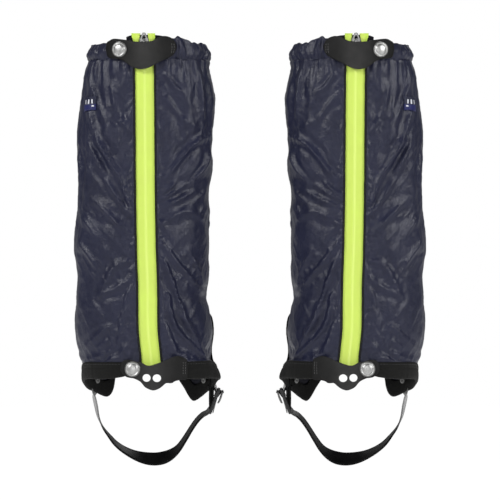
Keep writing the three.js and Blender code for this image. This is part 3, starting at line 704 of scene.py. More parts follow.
# ------------------------------------------------------------------ shell cloth
# Fold lines seen on the front, as (height, width, points in X, Z).
FOLDS = [
    (2.4, 4.5, [(-66.6, 311.5), (-56.6, 280.8), (-42.5, 252.5), (-29.9, 232.5), (-14.4, 186.4)]),
    (1.6, 4.0, [(-64.9, 273.8), (-50.1, 238.9)]),
    (2.2, 6.0, [(-55.8, 278.5), (-35.4, 244.3)]),
    (1.4, 4.0, [(-80.6, 266.7), (-75.0, 232.5)]),
    (2.2, 4.5, [(-46.0, 231.3), (-29.5, 204.1), (-14.4, 186.4)]),
    (2.2, 6.5, [(-61.4, 208.9), (-40.1, 187.6), (-18.9, 166.4)]),
    (1.8, 5.0, [(-73.2, 188.8), (-59.6, 165.2)]),
    (1.8, 5.0, [(-76.1, 159.3), (-61.4, 133.3)]),
    (1.6, 5.0, [(-35.4, 136.9), (-20.1, 135.7)]),
    (2.4, 4.5, [(-20.4, 135.0), (-37.1, 129.0), (-46.0, 113.9), (-55.1, 95.8)]),
    (2.0, 4.0, [(-17.7, 115.6), (-29.5, 107.4), (-53.6, 95.6)]),
    (1.4, 4.0, [(-70.1, 17.7), (-41.5, 31.2)]),
    (1.6, 4.5, [(-70.1, 35.4), (-44.5, 58.2), (-40.1, 35.4)]),
    (1.3, 4.0, [(-55.1, 35.4), (-43.1, 44.8)]),
    (1.6, 5.0, [(-68.4, 361.1), (-59.0, 330.4), (-49.6, 304.4)]),
    (1.6, 5.0, [(-40.1, 342.2), (-33.0, 311.5), (-18.9, 285.6)]),
    (1.8, 4.5, [(24.4, 355.2), (34.6, 340.5), (43.7, 335.1)]),
    (1.6, 4.5, [(60.2, 371.0), (63.7, 349.3), (67.3, 309.2)]),
    (2.4, 4.5, [(75.2, 286.7), (54.9, 273.8), (36.6, 250.2), (23.2, 232.5)]),
    (1.8, 4.5, [(74.1, 268.2), (68.4, 250.2), (55.9, 232.5)]),
    (2.2, 4.0, [(14.2, 208.9), (35.4, 228.2)]),
    (2.0, 4.0, [(15.3, 205.7), (48.4, 226.6)]),
    (2.0, 5.0, [(27.7, 203.0), (54.8, 217.7), (56.3, 228.2)]),
    (1.8, 5.0, [(51.9, 201.2), (66.9, 217.7)]),
    (2.0, 5.5, [(21.2, 180.5), (46.0, 195.2), (66.9, 187.6)]),
    (1.6, 4.0, [(15.3, 184.7), (24.8, 171.1)]),
    (2.4, 5.0, [(18.9, 159.3), (37.8, 135.0), (66.9, 101.8)]),
    (1.8, 5.0, [(53.1, 147.5), (68.4, 110.9)]),
    (2.2, 5.0, [(20.1, 141.0), (30.7, 116.8), (54.8, 53.7)]),
    (2.6, 4.5, [(27.7, 95.6), (35.4, 61.4), (54.8, 40.1), (74.3, 22.4)]),
    (2.0, 4.5, [(38.2, 80.7), (72.9, 25.1)]),
    (1.4, 5.0, [(26.0, 325.7), (42.5, 304.4), (59.0, 295.0)]),
]
EDGE = 11.3  # half of the zip tape's width between the panel edges
NS, NZ = 150, 122  # the simulated cloth's lattice, about 3 mm


def curve_points(pts, step=2.0):
    """A smooth line through the points, in short steps."""
    p = np.array(pts, float)
    if len(p) == 2:
        p = np.array([p[0], (p[0] + p[1]) / 2 + np.array([0.6, 0.6]), p[1]])
    q = np.concatenate([[2 * p[0] - p[1]], p, [2 * p[-1] - p[-2]]])
    out = []
    for i in range(1, len(q) - 2):
        n = max(2, int(np.linalg.norm(q[i + 1] - q[i]) / step))
        t = np.linspace(0, 1, n, endpoint=False)[:, None]
        a, b, c, d = q[i - 1], q[i], q[i + 1], q[i + 2]
        out.append(0.5 * ((2 * b) + (c - a) * t + (2 * a - 5 * b + 4 * c - d) * t**2 + (3 * b - a - 3 * c + d) * t**3))
    return np.concatenate(out + [p[-1:]])


def fold_height(x, z, folds):
    """Height of the fold ridges at points (x, z): each is a ridge that fades at its ends, with a shallow valley beside it."""
    total = np.zeros_like(x)
    for h, w, pts in folds:
        line = curve_points(pts, 3.0)
        lo, hi = line.min(0) - 4 * w, line.max(0) + 4 * w
        m = (x > lo[0]) & (x < hi[0]) & (z > lo[1]) & (z < hi[1])
        if not m.any():
            continue
        px, pz = x[m], z[m]
        best, at = np.full(px.shape, 1e9), np.zeros(px.shape)
        n = len(line) - 1
        for i in range(n):
            a, b = line[i], line[i + 1]
            d = b - a
            t = np.clip(((px - a[0]) * d[0] + (pz - a[1]) * d[1]) / (d @ d), 0, 1)
            dist = np.hypot(px - a[0] - t * d[0], pz - a[1] - t * d[1])
            closer = dist < best
            best = np.where(closer, dist, best)
            at = np.where(closer, (i + t) / n, at)
        fade = np.sin(np.pi * np.clip(at * 0.9 + 0.05, 0, 1)) ** 0.5
        ww = w * (0.75 + 0.35 * noise2(px / 14, pz / 14, 5))
        ridge = 0.5 * np.exp(-((best / ww) ** 2)) + 0.75 * np.exp(-best / (0.32 * ww)) - 0.4 * np.exp(-(((best - 1.9 * ww) / (1.0 * ww)) ** 2))
        total[m] += h * fade * ridge
    return total


def lattice(ns, nz):
    """s, z arrays (nz, ns): s runs from the zip's right edge round the back to its left edge, as a distance from the zip line that passes the back seam."""
    u = np.linspace(0, 1, ns)
    v = np.linspace(0, 1, nz)
    s_low = EDGE + u * (2 * HALF0 - 2 * EDGE)
    low = hem_low_at(np.where(s_low > HALF0, s_low - 2 * HALF0, s_low))
    z = low[None, :] + v[:, None] * (SHELL_TOP - low[None, :])
    h = half_round(z)
    s = EDGE + u[None, :] * (2 * h - 2 * EDGE)
    return s, z, u, v


def signed(s, z):
    h = half_round(z)
    return np.where(s > h, s - 2 * h, s)


def simulate(points, pins, frames=24):
    """Blender cloth on a lattice of points in metres: the cloth is cut a little larger than the leg, is held along the zip and both hems, and buckles."""
    nz, ns, _ = points.shape
    me = bpy.data.meshes.new("cloth_sim")
    me.from_pydata(points.reshape(-1, 3).tolist(), [], [tuple(map(int, q)) for q in grid_faces(nz, ns)])
    ob = bpy.data.objects.new("cloth_sim", me)
    SCENE.collection.objects.link(ob)
    group = ob.vertex_groups.new(name="pin")
    flat = pins.reshape(-1)
    for w in np.unique(flat):
        if w > 0:
            group.add([int(i) for i in np.nonzero(flat == w)[0]], float(w), "REPLACE")
    mod = ob.modifiers.new("cloth", "CLOTH")
    st = mod.settings
    st.quality = 4
    st.mass = 0.12
    st.air_damping = 2.0
    st.tension_stiffness = st.compression_stiffness = 18
    st.shear_stiffness = 6
    st.bending_stiffness = 0.35
    st.tension_damping = st.compression_damping = 8
    st.shear_damping = 5
    st.bending_damping = 0.4
    st.vertex_group_mass = "pin"
    st.pin_stiffness = 1.0
    st.shrink_min = -0.028
    st.use_pressure = True
    st.uniform_pressure_force = 0.35
    st.effector_weights.gravity = 0.25
    mod.collision_settings.use_collision = False
    mod.collision_settings.use_self_collision = False
    SCENE.frame_start, SCENE.frame_end = 1, frames
    mod.point_cache.frame_start, mod.point_cache.frame_end = 1, frames
    for f in range(1, frames + 1):
        SCENE.frame_set(f)
    dg = bpy.context.evaluated_depsgraph_get()
    out = np.empty(ns * nz * 3, np.float32)
    ob.evaluated_get(dg).data.vertices.foreach_get("co", out)
    bpy.data.objects.remove(ob)
    SCENE.frame_set(1)
    return out.reshape(nz, ns, 3).astype(float)


def upsample(a, k):
    """Cubic upsampling of a lattice (nz, ns, d) by k along both directions."""

    def one(a):
        n = a.shape[0]
        pad = np.concatenate([2 * a[:1] - a[1:2], a, 2 * a[-1:] - a[-2:-1]])
        out = np.empty(((n - 1) * k + 1,) + a.shape[1:])
        for r in range(k):
            t = r / k
            w = [0.5 * (-t + 2 * t * t - t**3), 0.5 * (2 - 5 * t * t + 3 * t**3), 0.5 * (t + 4 * t * t - 3 * t**3), 0.5 * (-t * t + t**3)]
            m = n - 1 if r else n
            out[r::k][:m] = sum(w[q] * pad[q : q + m] for q in range(3)) + (w[3] * pad[3 : 3 + m] if r else 0)
        return out

    return one(one(a).swapaxes(0, 1)).swapaxes(0, 1)


# How far the loose cloth stands off the leg's outline at its two sides, by height.
PUSH_L = keyed([(0, 0), (30, 1.3), (50, 2.2), (78, 1.6), (99, 0.2), (120, -1.0), (135, 0.6), (150, 3.2), (170, 2.2), (198, 0.4), (225, 1.0), (262, 1.2), (283, 2.8), (304, 1.8), (326, 1.4), (345, 2.2), (360, 2.8), (374, 0)])
PUSH_R = keyed([(0, -2), (15, -3.4), (28, -3.2), (42, -1.2), (57, 0.8), (72, 0.2), (85, -2.0), (94, -4.4), (104, -2.6), (120, -0.2), (145, -0.4), (165, 0), (184, -0.4), (198, 1.2), (212, -0.6), (228, 0.4), (241, 2.4), (255, 2.0), (269, 0), (290, 0.4), (315, 1.4), (328, 2.2), (345, 1.0), (356, 0), (365, -1.5), (374, -1.5)])


def side_push(s, z, nor):
    nx = nor[..., 0]
    return PUSH_L(z) * np.clip(-nx, 0, 1) ** 1.5 + PUSH_R(z) * np.clip(nx, 0, 1) ** 1.5


def soften(a, n):
    """Averages a lattice with its neighbours n times over, each wider."""
    out = a.copy()
    for _ in range(n):
        pad = np.pad(out, 1, mode="edge")
        out = (pad[:-2, 1:-1] + pad[2:, 1:-1] + pad[1:-1, :-2] + pad[1:-1, 2:] + 2 * pad[1:-1, 1:-1]) / 6
        pad = np.pad(out, 3, mode="edge")
        out = (pad[:-6, 3:-3] + pad[6:, 3:-3] + pad[3:-3, :-6] + pad[3:-3, 6:] + 2 * out) / 6
    return out


def shell_shape():
    """The finished outer surface of the shell as (nz, ns, 3) in mm, with its s and z."""
    s, z, u, v = lattice(NS, NZ)
    sg = signed(s, z)
    base = C(sg, z, 0)
    nor = normal_at(sg, z)
    free = smooth(0, 9, s - EDGE) * smooth(0, 9, (2 * half_round(z) - EDGE) - s) * smooth(0, 8, SHELL_TOP - z) * smooth(0, 10, z - hem_low_at(sg))
    x = base[..., 0]
    back = base[..., 1] > 0
    # the same fabric folds at the back: fold lines of the front, turned to the other side and moved up
    folds_back = [(h * 0.8, w * 1.15, [(-px + 6, pz * 0.9 + 22) for px, pz in pts]) for h, w, pts in FOLDS[::2]]
    h = np.where(back, fold_height(x, z, folds_back), fold_height(x, z, FOLDS))
    # sides: long soft diagonal folds
    side = np.exp(-((base[..., 1] - 8) ** 2) / 800)
    h = h + side * 1.3 * fbm(sg / 16 + z / 50, z / 34 - sg / 60, 31, 2)
    start = (base + nor * (h * 0.8 * free)[..., None]) * MM
    pins = np.zeros(s.shape)
    pins[0], pins[-1], pins[:, 0], pins[:, -1] = 1, 1, 1, 1
    moved = simulate(start, pins) / MM
    disp = moved - base
    size = np.linalg.norm(disp, axis=-1, keepdims=True)
    disp = disp * np.minimum(1, 4.5 / np.maximum(size, 1e-6))
    # the cloth's slow drift in or out is taken away, so that only its folds stay
    drift = soften((disp * nor).sum(-1), 14)
    disp = disp * 0.6 - nor * (0.6 * drift)[..., None]
    disp = disp + nor * (1.0 * h * free)[..., None]
    disp = disp + nor * (side_push(sg, z, nor) * smooth(0, 10, SHELL_TOP - z) * smooth(0, 9, z - hem_low_at(sg)))[..., None]
    K = 2
    disp = upsample(disp, K)
    s2, z2, _, _ = lattice((NS - 1) * K + 1, (NZ - 1) * K + 1)
    sg2 = signed(s2, z2)
    base2, nor2 = C(sg2, z2, 0), normal_at(sg2, z2)
    edge = np.minimum(s2 - EDGE, 2 * half_round(z2) - EDGE - s2)
    top, low = SHELL_TOP - z2, z2 - hem_low_at(sg2)
    inner = smooth(0, 7, edge) * smooth(0, 6, top) * smooth(0, 8, low)
    # long creases run down and in towards the zip; short crinkles lie over them
    lean = np.where(sg2 < 0, 1.0, -1.0)
    along, cross_ = z2 * 0.80 - lean * sg2 * 0.60, z2 * 0.60 + lean * sg2 * 0.80
    fine = 1.0 * (crease(along / 34, cross_ / 9.5, 11) - 0.4) + 0.3 * (crease(sg2 / 8 + 3, z2 / 10, 13) - 0.4) + 0.12 * (crease(sg2 / 4.2 + 3, z2 / 5.0, 15) - 0.4) + 0.10 * noise2(sg2 / 2.2, z2 / 2.4, 17)
    calm = 0.55 + 0.45 * smooth(-0.3, 0.4, fbm(sg2 / 40, z2 / 45, 19, 2))
    h2 = fine * calm * inner
    # short puckers where the zip is sewn in
    side_sign = np.sign(sg2)
    pk = np.sin(2 * np.pi * (z2 / 8.5 + 0.35 * noise2(z2 / 17, side_sign * 3, 23)) - side_sign * edge / 6.0)
    gather = 0.12 + 0.88 * smooth(120, 165, z2) * (1 - smooth(225, 262, z2)) + 0.35 * smooth(20, 40, z2) * (1 - smooth(60, 90, z2))
    h2 = h2 + 0.7 * pk * gather * smooth(0, 3, edge) * (1 - smooth(5, 20, edge)) * (0.5 + 0.5 * smooth(-0.2, 0.5, noise2(z2 / 30, side_sign * 5, 29)))
    # gathers under the top hem and small pleats over the lower one
    g = noise2(sg2 / 5.2, z2 / 60, 37) + 0.5 * noise2(sg2 / 2.7, z2 / 50, 41)
    h2 = h2 + 1.5 * g * smooth(-1.5, 2.5, top) * (1 - smooth(6, 34, top)) * smooth(0, 5, edge)
    g = noise2(sg2 / 6.5, z2 / 60, 43)
    h2 = h2 + 0.75 * g * smooth(0, 4, low) * (1 - smooth(8, 30, low)) * smooth(0, 5, edge)
    # held down at the back seam
    seam = np.abs(s2 - half_round(z2))
    h2 = h2 - 0.6 * np.exp(-((seam / 3.0) ** 2)) + 0.35 * np.sin(z2 / 1.3 + noise2(z2 / 9, 0 * z2, 47)) * np.exp(-((seam / 6.0) ** 2)) * smooth(0, 2, seam)
    total = disp + nor2 * h2[..., None]
    # the binding holds the cloth down round the lower hem, and the edge strips hold it beside the zip
    out_by = (total * nor2).sum(-1)
    over_band = z2 - hem_high_at(sg2)
    limit = 0.05 + 9.0 * smooth(-0.5, 12, over_band) * smooth(1.8, 9, edge) + 30 * smooth(8, 16, over_band) * smooth(7, 14, edge)
    floor_ = np.where(over_band < 3, -0.35, -30.0)
    total = total + nor2 * (np.clip(out_by, floor_, limit) - out_by)[..., None]
    return base2 + total, s2, z2, sg2, nor2


shell, SH_S, SH_Z, SH_SG, SH_N = shell_shape()
SH_NZ, SH_NS, _ = shell.shape
_mid = (SH_NS - 1) // 2


def lattice_normals(g):
    du = np.gradient(g, axis=1)
    dv = np.gradient(g, axis=0)
    n = np.cross(du, dv)
    return n / np.maximum(np.linalg.norm(n, axis=-1, keepdims=True), 1e-9)


SHELL_NOR = lattice_normals(shell)
if (SHELL_NOR * SH_N).sum() < 0:
    SHELL_NOR = -SHELL_NOR


def cloth_solid(outer, nor, t, uv_s, uv_z):
    """A sheet t thick: outer skin, inner skin and the four edges."""
    nz, ns, _ = outer.shape
    inner = outer - nor * t
    n = nz * ns
    f = grid_faces(nz, ns)
    faces = [tuple(q) for q in f] + [tuple(q[::-1] + n) for q in f]
    ring = [(i * ns) for i in range(nz)][::-1]
    for a, b in (([0 * ns + j for j in range(ns)]), 0), (([(nz - 1) * ns + j for j in range(ns)][::-1]), 0), ([i * ns for i in range(nz)][::-1], 0), ([i * ns + ns - 1 for i in range(nz)], 0):
        for p, q in zip(a[:-1], a[1:]):
            faces.append((q, p, p + n, q + n))
    uv = np.stack([uv_s, uv_z], -1).reshape(-1, 2)
    return np.concatenate([outer.reshape(-1, 3), inner.reshape(-1, 3)]), faces, np.concatenate([uv, uv])


# inner panel: from the zip's +X edge to the back seam; outer panel: from the back seam to the zip's -X edge
for name, cols, node in (("shell_inner_cloth", slice(0, _mid + 1), "shell_inner_panel"), ("shell_outer_cloth", slice(_mid, SH_NS), "shell_outer_panel")):
    g, nn = shell[:, cols], SHELL_NOR[:, cols]
    v, f, uv = cloth_solid(g, nn, 0.7, SH_SG[:, cols], SH_Z[:, cols])
    for ob in pair(name, v, f, NAVY, "gaiter", [node], uv=uv):
        ob.data.materials.append(LINING)
        idx = np.zeros(len(ob.data.polygons), np.int32)
        n_outer = (g.shape[0] - 1) * (g.shape[1] - 1)
        idx[n_outer : 2 * n_outer] = 1
        ob.data.polygons.foreach_set("material_index", idx)


# ------------------------------------------------------------------ zip edges, back seam
def strip_on(s_fn, z, w, t, lift, name, mat, body="gaiter", slot=None, uvs=True, bulge=0.0, wob=0.0):
    """A narrow band w wide and t thick that runs up the shell along s_fn(z), its underside at lift."""
    prof = rounded(w, t, min(w, t) * 0.46, 3)
    s = s_fn(z)
    rows = np.stack([C(s + px, z, lift + t / 2 + py + bulge * (1 - (2 * px / w) ** 2)) for px, py in prof], 1)
    v, f = sweep(rows)
    uv = np.stack([np.tile(prof[:, 0], len(z)), np.repeat(z, len(prof))], -1)
    return v, f, uv


zz = np.linspace(9.0, SHELL_TOP - 1, 190)
for sg_, nm in ((1, "r"), (-1, "l")):
    # the folded black edge of the panel beside the tape, with its row of stitches
    wave = 0.14 * np.sin(zz / 3.6 * 2 * np.pi / 1.0) + 0.12 * noise2(zz / 9, 0 * zz + sg_, 61)
    v, f, uv = strip_on(lambda z: sg_ * (12.25 + wave), zz, 2.7, 1.15, -0.55, "e", BINDING)
    pair(f"zip_edge_{nm}", v, f, BINDING, "gaiter", uv=uv)
    zs = np.linspace(12, SHELL_TOP - 2, 150)
    pts = C(sg_ * 12.3 + 0 * zs, zs, 0.62)
    v, f = stitches(pts, normal_at(sg_ * 12.3 + 0 * zs, zs), 2.3, 1.15, 0.5, 0.4)
    pair(f"zip_edge_stitches_{nm}", v, f, THREAD, "gaiter")


def shell_at(s, z):
    """The finished cloth's surface and normal nearest the signed distance s and height z (scalars or arrays)."""
    s, z = np.broadcast_arrays(np.asarray(s, float), np.asarray(z, float))
    h = half_round(z)
    ss = np.where(s < 0, 2 * h + s, s)
    low = hem_low_at(s)
    v = np.clip((z - low) / (SHELL_TOP - low), 0, 1) * (SH_NZ - 1)
    u = np.clip((ss - EDGE) / (2 * h - 2 * EDGE), 0, 1) * (SH_NS - 1)
    i, j = np.clip(v.astype(int), 0, SH_NZ - 2), np.clip(u.astype(int), 0, SH_NS - 2)
    a, b = (v - i)[..., None], (u - j)[..., None]

    def pick(t):
        return (t[i, j] * (1 - a) + t[i + 1, j] * a) * (1 - b) + (t[i, j + 1] * (1 - a) + t[i + 1, j + 1] * a) * b

    return pick(shell), pick(SHELL_NOR)


# back seam: a stitched fell over the join of the two panels
zb = np.linspace(30, SHELL_TOP - 1, 200)
hb = half_round(zb)
rows = []
for px, py in rounded(6.0, 0.9, 0.42, 3):
    p, n = shell_at(np.where(hb + px > hb, -(hb - px), hb + px), zb)
    rows.append(p + n * (0.25 + py))
v, f = sweep(np.stack(rows, 1))
prof = rounded(6.0, 0.9, 0.42, 3)
pair("back_seam", v, f, NAVY, "gaiter", uv=np.stack([np.tile(prof[:, 0], len(zb)), np.repeat(zb, len(prof))], -1))
parts = []
for off in (-2.1, 2.1):
    q = hb + off
    p, n = shell_at(np.where(q > hb, q - 2 * hb, q), zb)
    parts.append(stitches(p + n * 0.75, n, 2.4, 1.2, 0.5, 0.4))
v, f = join(parts)
pair("back_seam_stitches", v, f, THREAD_NAVY, "gaiter")

# ------------------------------------------------------------------ zip tapes with splayed ends, coils
TAPE_OUT = -1.5
for sg_, nm in ((-1, "l"), (1, "r")):
    z = np.concatenate([np.linspace(10, 378, 130), np.linspace(380, 403.2, 26)])
    inner = np.where(z < 384, 0.12, 0.12 + 5.6 * smooth(384, 393, z) - 1.6 * smooth(394, 403, z))  # spread by the slider
    outer = np.where(z < 380, 13.2, 13.2 - 0.6 * smooth(382, 392, z) + (2.2 if sg_ < 0 else 0.6) * smooth(392, 402, z))
    cols = np.linspace(0, 1, 15)
    top, bot, uvt = [], [], []
    for c in cols:
        x = inner + (outer - inner) * c
        # the ends above the slider curl forward over the tab's edge
        curl = 3.2 * smooth(386, 397, z) - 2.4 * smooth(397, 403.5, z)
        crown = 0.22 * math.sin(math.pi * c) + curl * (0.65 + 0.35 * math.sin(math.pi * c))
        seamrib = 0.28 * math.exp(-(((c - 0.93) / 0.035) ** 2))
        o = TAPE_OUT + crown + seamrib * (z < 384)
        zx = zip_x(z) + ZIP_DX(z)
        fd = front_depth(z)
        top.append(np.stack([zx + sg_ * x, -fd - o, z], -1))
        bot.append(np.stack([zx + sg_ * x, -fd - (o - 0.75), z], -1))
        uvt.append(np.stack([sg_ * x, z], -1))
    rows = np.stack(top + bot[::-1], 1)
    uv = np.stack(uvt + uvt[::-1], 1).reshape(-1, 2)
    v, f = sweep(rows)
    pair(f"tape_{nm}", v, f, NEON, "gaiter", [f"zip_tape_{nm}"], uv=uv)
    # coil: a wound nylon spiral on the tape's back
    n_t, per = 150, 14
    t = np.arange(n_t * per) / per
    zc = 14 + t / n_t * (384 - 14)
    ang = 2 * np.pi * t
    cx = sg_ * (1.35 + 0.95 * np.cos(ang))
    co = -3.35 + 0.72 * np.sin(ang)
    centre = np.stack([zip_x(zc) + ZIP_DX(zc) + cx, -front_depth(zc) - co, zc], -1)
    tan = np.gradient(centre, axis=0)
    tan /= np.linalg.norm(tan, axis=1, keepdims=True)
    up = np.array([0, 0, 1.0])
    e1 = np.cross(tan, up)
    e1 /= np.linalg.norm(e1, axis=1, keepdims=True)
    e2 = np.cross(tan, e1)
    ring = np.stack([centre + 0.34 * (e1 * math.cos(a) + e2 * math.sin(a)) for a in np.arange(5) * 2 * math.pi / 5], 1)
    v, f = sweep(ring)
    pair(f"coil_{nm}", v, f, COIL, "gaiter", [f"zip_coil_{nm}"])
# the chain's sewn middle line, a fine cord over the meeting edges
zt = np.linspace(12, 384, 200)
prof = rounded(2.0, 0.36, 0.17, 3)
rows = np.stack([np.stack([zip_x(zt) + ZIP_DX(zt) + px, -front_depth(zt) - (TAPE_OUT + 0.02 + py), zt], -1) for px, py in prof], 1)
v, f = sweep(rows)
pair("zip_middle_cord", v, f, NEON, "gaiter", uv=np.stack([np.tile(prof[:, 0], len(zt)), np.repeat(zt, len(prof))], -1))

# ------------------------------------------------------------------ top hem: a gathered tunnel with elastic inside
def top_hem():
    """Outline of the tunnel's section, swept round; the gathers are deep pleats that die out at the seam."""
    n_s = 420
    u = np.linspace(0, 1, n_s)
    prof = []  # (height share, offset) round the section, outside first
    for h in np.linspace(0, 1, 13):
        prof.append((h, -0.25 + 3.7 * math.sin(math.pi * min(1, h * 1.04)) ** 1.05))
    for a in np.linspace(0.15, 0.85, 5):
        prof.append((1 + 0.05 * math.sin(math.pi * a), 0.4 - 5.6 * a))
    for h in np.linspace(1, 0.0, 11):
        prof.append((h, -5.6 - 1.9 * math.sin(math.pi * h) ** 0.8))
    for h, o in ((-0.02, -4.6), (0.10, -4.5), (0.14, -1.4), (0.0, -0.9)):
        prof.append((h, o))
    rows, uvs = [], []
    for ui in u:
        row, uvr = [], []
        s0 = 15.5 + ui * (2 * float(half_round(384)) - 31)
        sgn = s0 if s0 < half_round(384) else s0 - 2 * float(half_round(384))
        # top edge: lower at the outer sides, with irregular bumps
        lift = TOP_EDGE(sgn)
        g1 = noise2(s0 / 4.6, 0.0, 71)
        g2 = noise2(s0 / 2.3, 4.0, 73)
        env = 0.45 + 0.55 * min(1.0, abs(sgn) / 42)
        for h, o in prof:
            hh = h
            z = lerp(SHELL_TOP - 1.6 + (0.9 * g1 if o > -1 else 0.0), lift + 1.6 * g1 * env, hh)
            lean = 0.7 * (hh - 0.5)
            g1z = float(noise2((s0 + 5 * lean) / 4.6, hh * 1.3, 71))
            g2z = float(noise2((s0 - 3 * lean) / 2.3, hh * 1.7 + 4, 73))
            puff = float(PUFF(sgn))
            depth = env * math.sin(math.pi * min(1, max(0, hh * 0.92 + 0.06))) ** 0.6
            oo = o * (puff if o > 0.3 else 1.0) + depth * (1.9 * g1z + 0.9 * g2z) * (1 if o > -1 else -0.6)
            if o > -1 and h < 0.3:
                # the seam itself is drawn into the same gathers
                oo = oo + (0.3 - h) / 0.3 * env * 0.9 * float(noise2(s0 / 5.2, SHELL_TOP / 60, 37))
            row.append(P(sgn, z, oo))
            uvr.append((s0, z * 1.0 + (o < -1) * 30))
        rows.append(row)
        uvs.append(uvr)
    rows = np.array(rows)
    return rows, np.array(uvs)


TOP_EDGE = keyed([(-225, 391), (-150, 391), (-100, 389), (-84, 390), (-70, 391), (-52, 392.5), (-30, 394), (0, 396), (30, 397), (40, 398), (52, 396), (62, 393), (75, 391.8), (88, 391), (100, 389), (150, 390.5), (225, 391)])
PUFF = keyed([(-225, 1.0), (-120, 1.1), (-90, 1.25), (-60, 1.1), (-30, 0.5), (30, 0.5), (60, 0.75), (90, 0.55), (120, 0.7), (225, 1.0)])
rows, uvs = top_hem()
v, f = sweep(rows)
pair("top_hem_gathered", v, f, NAVY, "gaiter", ["top_hem_casing"], uv=uvs.reshape(-1, 2))
# elastic in the tunnel, rippled by the gathers
n_s = 300
u = np.linspace(0, 1, n_s)
s0 = 17 + u * (2 * float(half_round(383)) - 34)
sgn = np.where(s0 < half_round(383), s0, s0 - 2 * float(half_round(383)))
prof = rounded(12.5, 1.4, 0.5, 2)
rip = 0.22 * np.sin(s0 / 1.6)
rows = np.stack([P(sgn, 382.8 + px, -3.1 + py + rip * 0.8) for px, py in prof], 1)
v, f = sweep(rows)
pair("elastic_band", v, f, BINDING, "gaiter", ["top_elastic"], uv=np.stack([np.tile(prof[:, 0], n_s), np.repeat(s0, len(prof))], -1))
# stitched seam under the tunnel
parts = []
ss_ = np.linspace(EDGE + 5, 2 * float(half_round(SHELL_TOP)) - EDGE - 5, 330)
hh_ = float(half_round(SHELL_TOP))
sq = np.where(ss_ > hh_, ss_ - 2 * hh_, ss_)
pts, nn_ = shell_at(sq, SHELL_TOP - 0.4 + 0 * sq)
v, f = stitches(pts + nn_ * 0.35, nn_, 2.2, 1.3, 0.32, 0.25)
pair("top_seam_stitches", v, f, THREAD_NAVY, "gaiter")

# ------------------------------------------------------------------ bottom hem binding
def hem_band():
    n_s = 460
    h0 = HALF0
    s0 = np.linspace(EDGE + 0.2, 2 * h0 - EDGE - 0.2, n_s)
    sgn = np.where(s0 > h0, s0 - 2 * h0, s0)
    low, high = hem_low_at(sgn), hem_high_at(sgn)
    # the band flares to a corner at the inner side, above the buckle, and a little at the outer one
    flare = 4.8 * np.exp(-(((sgn - 104) / 13) ** 2)) + 1.6 * np.exp(-(((sgn + 108) / 16) ** 2))
    # a closed outline: outer face with a groove under the top edge, rolled lower edge, inner face
    prof = [(1.02, 0.15), (1.03, 0.9), (0.95, 1.25), (0.80, 1.3), (0.70, 1.22), (0.64, 0.75), (0.58, 1.2), (0.45, 1.42), (0.25, 1.45), (0.08, 1.35), (-0.05, 1.1), (-0.12, 0.5), (-0.14, -0.8), (-0.11, -1.9), (-0.02, -2.4), (0.2, -2.5), (0.5, -2.45), (0.9, -2.4), (0.98, -2.2), (0.98, -1.3), (0.6, -1.2), (0.12, -1.25), (0.07, -0.9), (0.12, -0.1), (0.6, 0.1)]
    rows = []
    wav = 0.35 * noise2(s0 / 9, 0 * s0, 81) + 0.2 * noise2(s0 / 3.5, 0 * s0, 83)
    wz = 0.5 * noise2(s0 / 12, 0 * s0 + 3, 87)
    for hshare, o in prof:
        z = lerp(low, high, hshare) + wz * (hshare < 0.5)
        out_ = flare * (1 - min(1, max(0, hshare))) ** 0.8
        rows.append(C(sgn, z, o + out_ + wav * (0.5 if o > 0 else 0.3)))
    uv = np.stack([np.tile(s0, (len(prof), 1)).T, np.tile(np.array([h * 10 for h, _ in prof]), (n_s, 1))], -1)
    return np.stack(rows, 1), uv, s0, sgn, low, high, wav


rows, uv, s0, sgn, low, high, wav = hem_band()
v, f = sweep(rows)
pair("hem_binding", v, f, BINDING, "gaiter", ["bottom_hem_band"], uv=uv.reshape(-1, 2))
zl = lerp(low, high, 0.87)
v, f = stitches(C(sgn, zl, 1.45 + 0.5 * wav + 1.0 * np.exp(-(((sgn - 104) / 13) ** 2))), normal_at(sgn, zl), 2.6, 1.3, 0.55, 0.45)
pair("hem_stitches", v, f, THREAD, "gaiter")


# ------------------------------------------------------------------ tabs: plates cut to an outline and bent round the front
def resample(pts, step, closed=True):
    p = np.array(pts, float)
    if closed:
        # smooth the polyline with a closed Catmull-Rom curve
        n = len(p)
        out = []
        for i in range(n):
            a, b, c, d = p[(i - 1) % n], p[i], p[(i + 1) % n], p[(i + 2) % n]
            m = 6
            for t in np.arange(m) / m:
                out.append(0.5 * ((2 * b) + (c - a) * t + (2 * a - 5 * b + 4 * c - d) * t**2 + (3 * b - a - 3 * c + d) * t**3))
        p = np.array(out + [out[0]])
    al = np.concatenate([[0], np.cumsum(np.linalg.norm(np.diff(p, axis=0), axis=1))])
    n = max(12, int(al[-1] / step))
    q = np.linspace(0, al[-1], n + 1)[:-1]
    return np.stack([np.interp(q, al, p[:, k]) for k in range(2)], -1)


def inset(p, d):
    """Moves a closed outline inwards by d along its normals."""
    t = np.roll(p, -1, 0) - np.roll(p, 1, 0)
    t /= np.linalg.norm(t, axis=1, keepdims=True)
    n = np.stack([-t[:, 1], t[:, 0]], -1)
    area = 0.5 * np.sum(p[:, 0] * np.roll(p[:, 1], -1) - np.roll(p[:, 0], -1) * p[:, 1])
    return p + n * d * (1 if area > 0 else -1)


